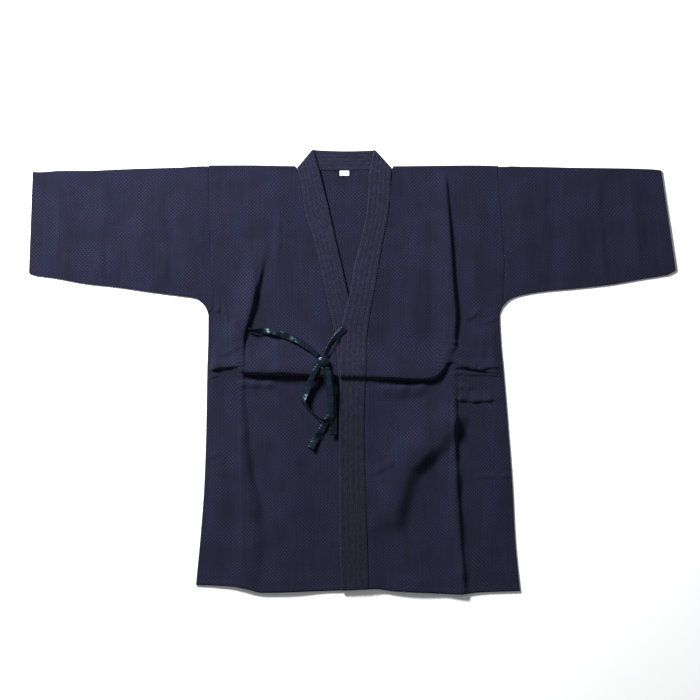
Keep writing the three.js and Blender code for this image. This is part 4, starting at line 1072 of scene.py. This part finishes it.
class JACKET_OT_bodies(Operator):
    """Builds the two body lengths"""

    bl_idname = "jacket.bodies"
    bl_label = "Body lengths"

    def execute(self, context):
        settings = context.scene.jacket_cloth
        for side in ("right", "left"):
            lay("body_" + side, body_length(side, settings), cloth_material(settings), "cloth")
        return {"FINISHED"}


class JACKET_OT_sleeves(Operator):
    """Builds the two sleeves"""

    bl_idname = "jacket.sleeves"
    bl_label = "Sleeves"

    def execute(self, context):
        settings = context.scene.jacket_cloth
        for side in ("right", "left"):
            lay("sleeve_" + side, sleeve_tube(side, settings), cloth_material(settings), "cloth")
        return {"FINISHED"}


class JACKET_OT_collar(Operator):
    """Builds the quilted collar band"""

    bl_idname = "jacket.collar"
    bl_label = "Collar band"

    def execute(self, context):
        material = band_material(context.scene.jacket_band)
        lay("collar_band", collar_band(context.scene.jacket_cloth), material, "collar")
        return {"FINISHED"}


class JACKET_OT_ties(Operator):
    """Builds the tapes of the bow and its knot"""

    bl_idname = "jacket.ties"
    bl_label = "Ties"

    def execute(self, context):
        settings = context.scene.jacket_ties
        material = tape_material(settings)
        for name, knots in TIES.items():
            form, length = tape(knots, settings.mesh_step * 1000)
            lay(name, form, material, "tie")
        points, faces = knot_form()
        # The weave runs across the knot aslant, as the tape's last turn does.
        uvs = points[np.concatenate(faces)][:, :2] @ np.array([[0.8, -0.6], [0.6, 0.8]])
        knot = new_piece("jacket_tie_knot", points, faces, uvs, material, "tie")
        outward(knot.data)
        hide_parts("tie_knot")
        return {"FINISHED"}


def outward(mesh):
    """Turns a closed mesh's faces outwards."""
    work = bmesh.new()
    work.from_mesh(mesh)
    bmesh.ops.recalc_face_normals(work, faces=work.faces)
    work.to_mesh(mesh)
    work.free()


class JACKET_OT_label(Operator):
    """Builds the bare label under the back of the neck"""

    bl_idname = "jacket.label"
    bl_label = "Label"

    def execute(self, context):
        wide, long = LABEL["wide"], LABEL["long"]
        x, y = np.meshgrid(
            LABEL["x"] + np.linspace(-0.5, 0.5, 25) * wide, LABEL["y"] + np.linspace(-0.5, 0.5, 17) * long,
        )
        from_middle = x - LABEL["x"]
        inner = points_at(x, y, CLOTH + GAP + 0.15 + 0.25 * np.sin(from_middle / 4.1) ** 2)
        outer = inner.copy()
        outer[..., 2] += 0.55 - 0.15 * np.exp(-(((wide / 2 - np.abs(from_middle)) - 1.4) / 0.5) ** 2)
        lay("neck_label", (outer, inner, x, y), label_material(), "label")
        return {"FINISHED"}


class JACKET_OT_stitches(Operator):
    """Lays the rows of stitches along the band, hems, seams and tapes"""

    bl_idname = "jacket.stitches"
    bl_label = "Stitches"

    def execute(self, context):
        settings = context.scene.jacket_stitches
        material = thread_material(settings)
        for name, slot, close, thin in (("cloth", "cloth", 1, 1), ("band", "collar", 1, 1), ("tape", "tie", 0.6, 0.7)):
            sizes = {
                "Spacing": settings.spacing * close, "Stitch Length": settings.length * close,
                "Thread Width": settings.width * thin,
            }
            lay_stitches("jacket_stitches_" + name, SEWN[name], material, sizes)
        return {"FINISHED"}


class JACKET_OT_stage(Operator):
    """Sets the pale floor, the soft light and the camera straight above"""

    bl_idname = "jacket.stage"
    bl_label = "Stage"

    def execute(self, context):
        settings = context.scene.jacket_stage
        scene = context.scene
        mesh = bpy.data.meshes.new("floor")
        reach = 12.0
        corners = [(x * reach, y * reach, -0.0002) for x, y in ((-1, -1), (1, -1), (1, 1), (-1, 1))]
        mesh.from_pydata(corners, [], [(0, 1, 2, 3)])
        material, _, shader = tree_of("matt white studio card")
        shader.inputs["Base Color"].default_value = list(settings.floor_colour)
        shader.inputs["Roughness"].default_value = 0.95
        shader.inputs["Specular IOR Level"].default_value = 0.1
        mesh.materials.append(material)
        show("floor", mesh)

        scene.world = bpy.data.worlds.new("studio")
        scene.world.use_nodes = True
        background = scene.world.node_tree.nodes["Background"].inputs
        background[0].default_value = linear("#fafcff")
        background[1].default_value = settings.fill_strength
        # The Standard view keeps the white card white and the dark blues dark; the usual one would grey them both.
        scene.view_settings.view_transform = "Standard"

        key = bpy.data.lights.new("key", "AREA")
        key.energy = settings.key_power
        key.size = 0.6
        lamp = show("key", key)
        lamp.location = (-1.55, 1.85, 1.35)
        lamp.rotation_euler = (Vector((0, 0, 0)) - lamp.location).to_track_quat("-Z", "Y").to_euler()

        camera = bpy.data.cameras.new("camera")
        camera.sensor_width = 36
        camera.lens = camera.sensor_width * settings.camera_height / VIEW_WIDTH
        camera.clip_end = 100
        scene.camera = show("camera", camera)
        centre = (np.array([*VIEW_CENTRE, 0.0]) + SHIFT) / 1000
        scene.camera.location = (centre[0], centre[1], settings.camera_height)
        return {"FINISHED"}


class JACKET_PT_panel(Panel):
    """Lists the jacket's pieces and their settings"""

    bl_idname = "JACKET_PT_panel"
    bl_label = "Kendo jacket"
    bl_space_type = "VIEW_3D"
    bl_region_type = "UI"
    bl_category = "Kendo jacket"

    def draw(self, context):
        layout = self.layout
        for name, settings in SETTINGS.items():
            box = layout.box()
            for prop in settings.__annotations__:
                box.prop(getattr(context.scene, name), prop)
        for operator in OPERATORS:
            layout.operator(operator.bl_idname)


SETTINGS = {
    "jacket_cloth": JacketCloth,
    "jacket_band": JacketBand,
    "jacket_ties": JacketTies,
    "jacket_stitches": JacketStitches,
    "jacket_stage": JacketStage,
}
OPERATORS = (
    JACKET_OT_stage, JACKET_OT_bodies, JACKET_OT_sleeves, JACKET_OT_collar, JACKET_OT_ties, JACKET_OT_label,
    JACKET_OT_stitches,
)


def register():
    for cls in (*SETTINGS.values(), *OPERATORS, JACKET_PT_panel):
        bpy.utils.register_class(cls)
    for name, settings in SETTINGS.items():
        setattr(bpy.types.Scene, name, PointerProperty(type=settings))


def unregister():
    for name in SETTINGS:
        delattr(bpy.types.Scene, name)
    for cls in reversed((*SETTINGS.values(), *OPERATORS, JACKET_PT_panel)):
        bpy.utils.unregister_class(cls)


def main():
    register()
    for operator in OPERATORS:
        group, name = operator.bl_idname.split(".")
        getattr(getattr(bpy.ops, group), name)()


if __name__ == "__main__":
    main()
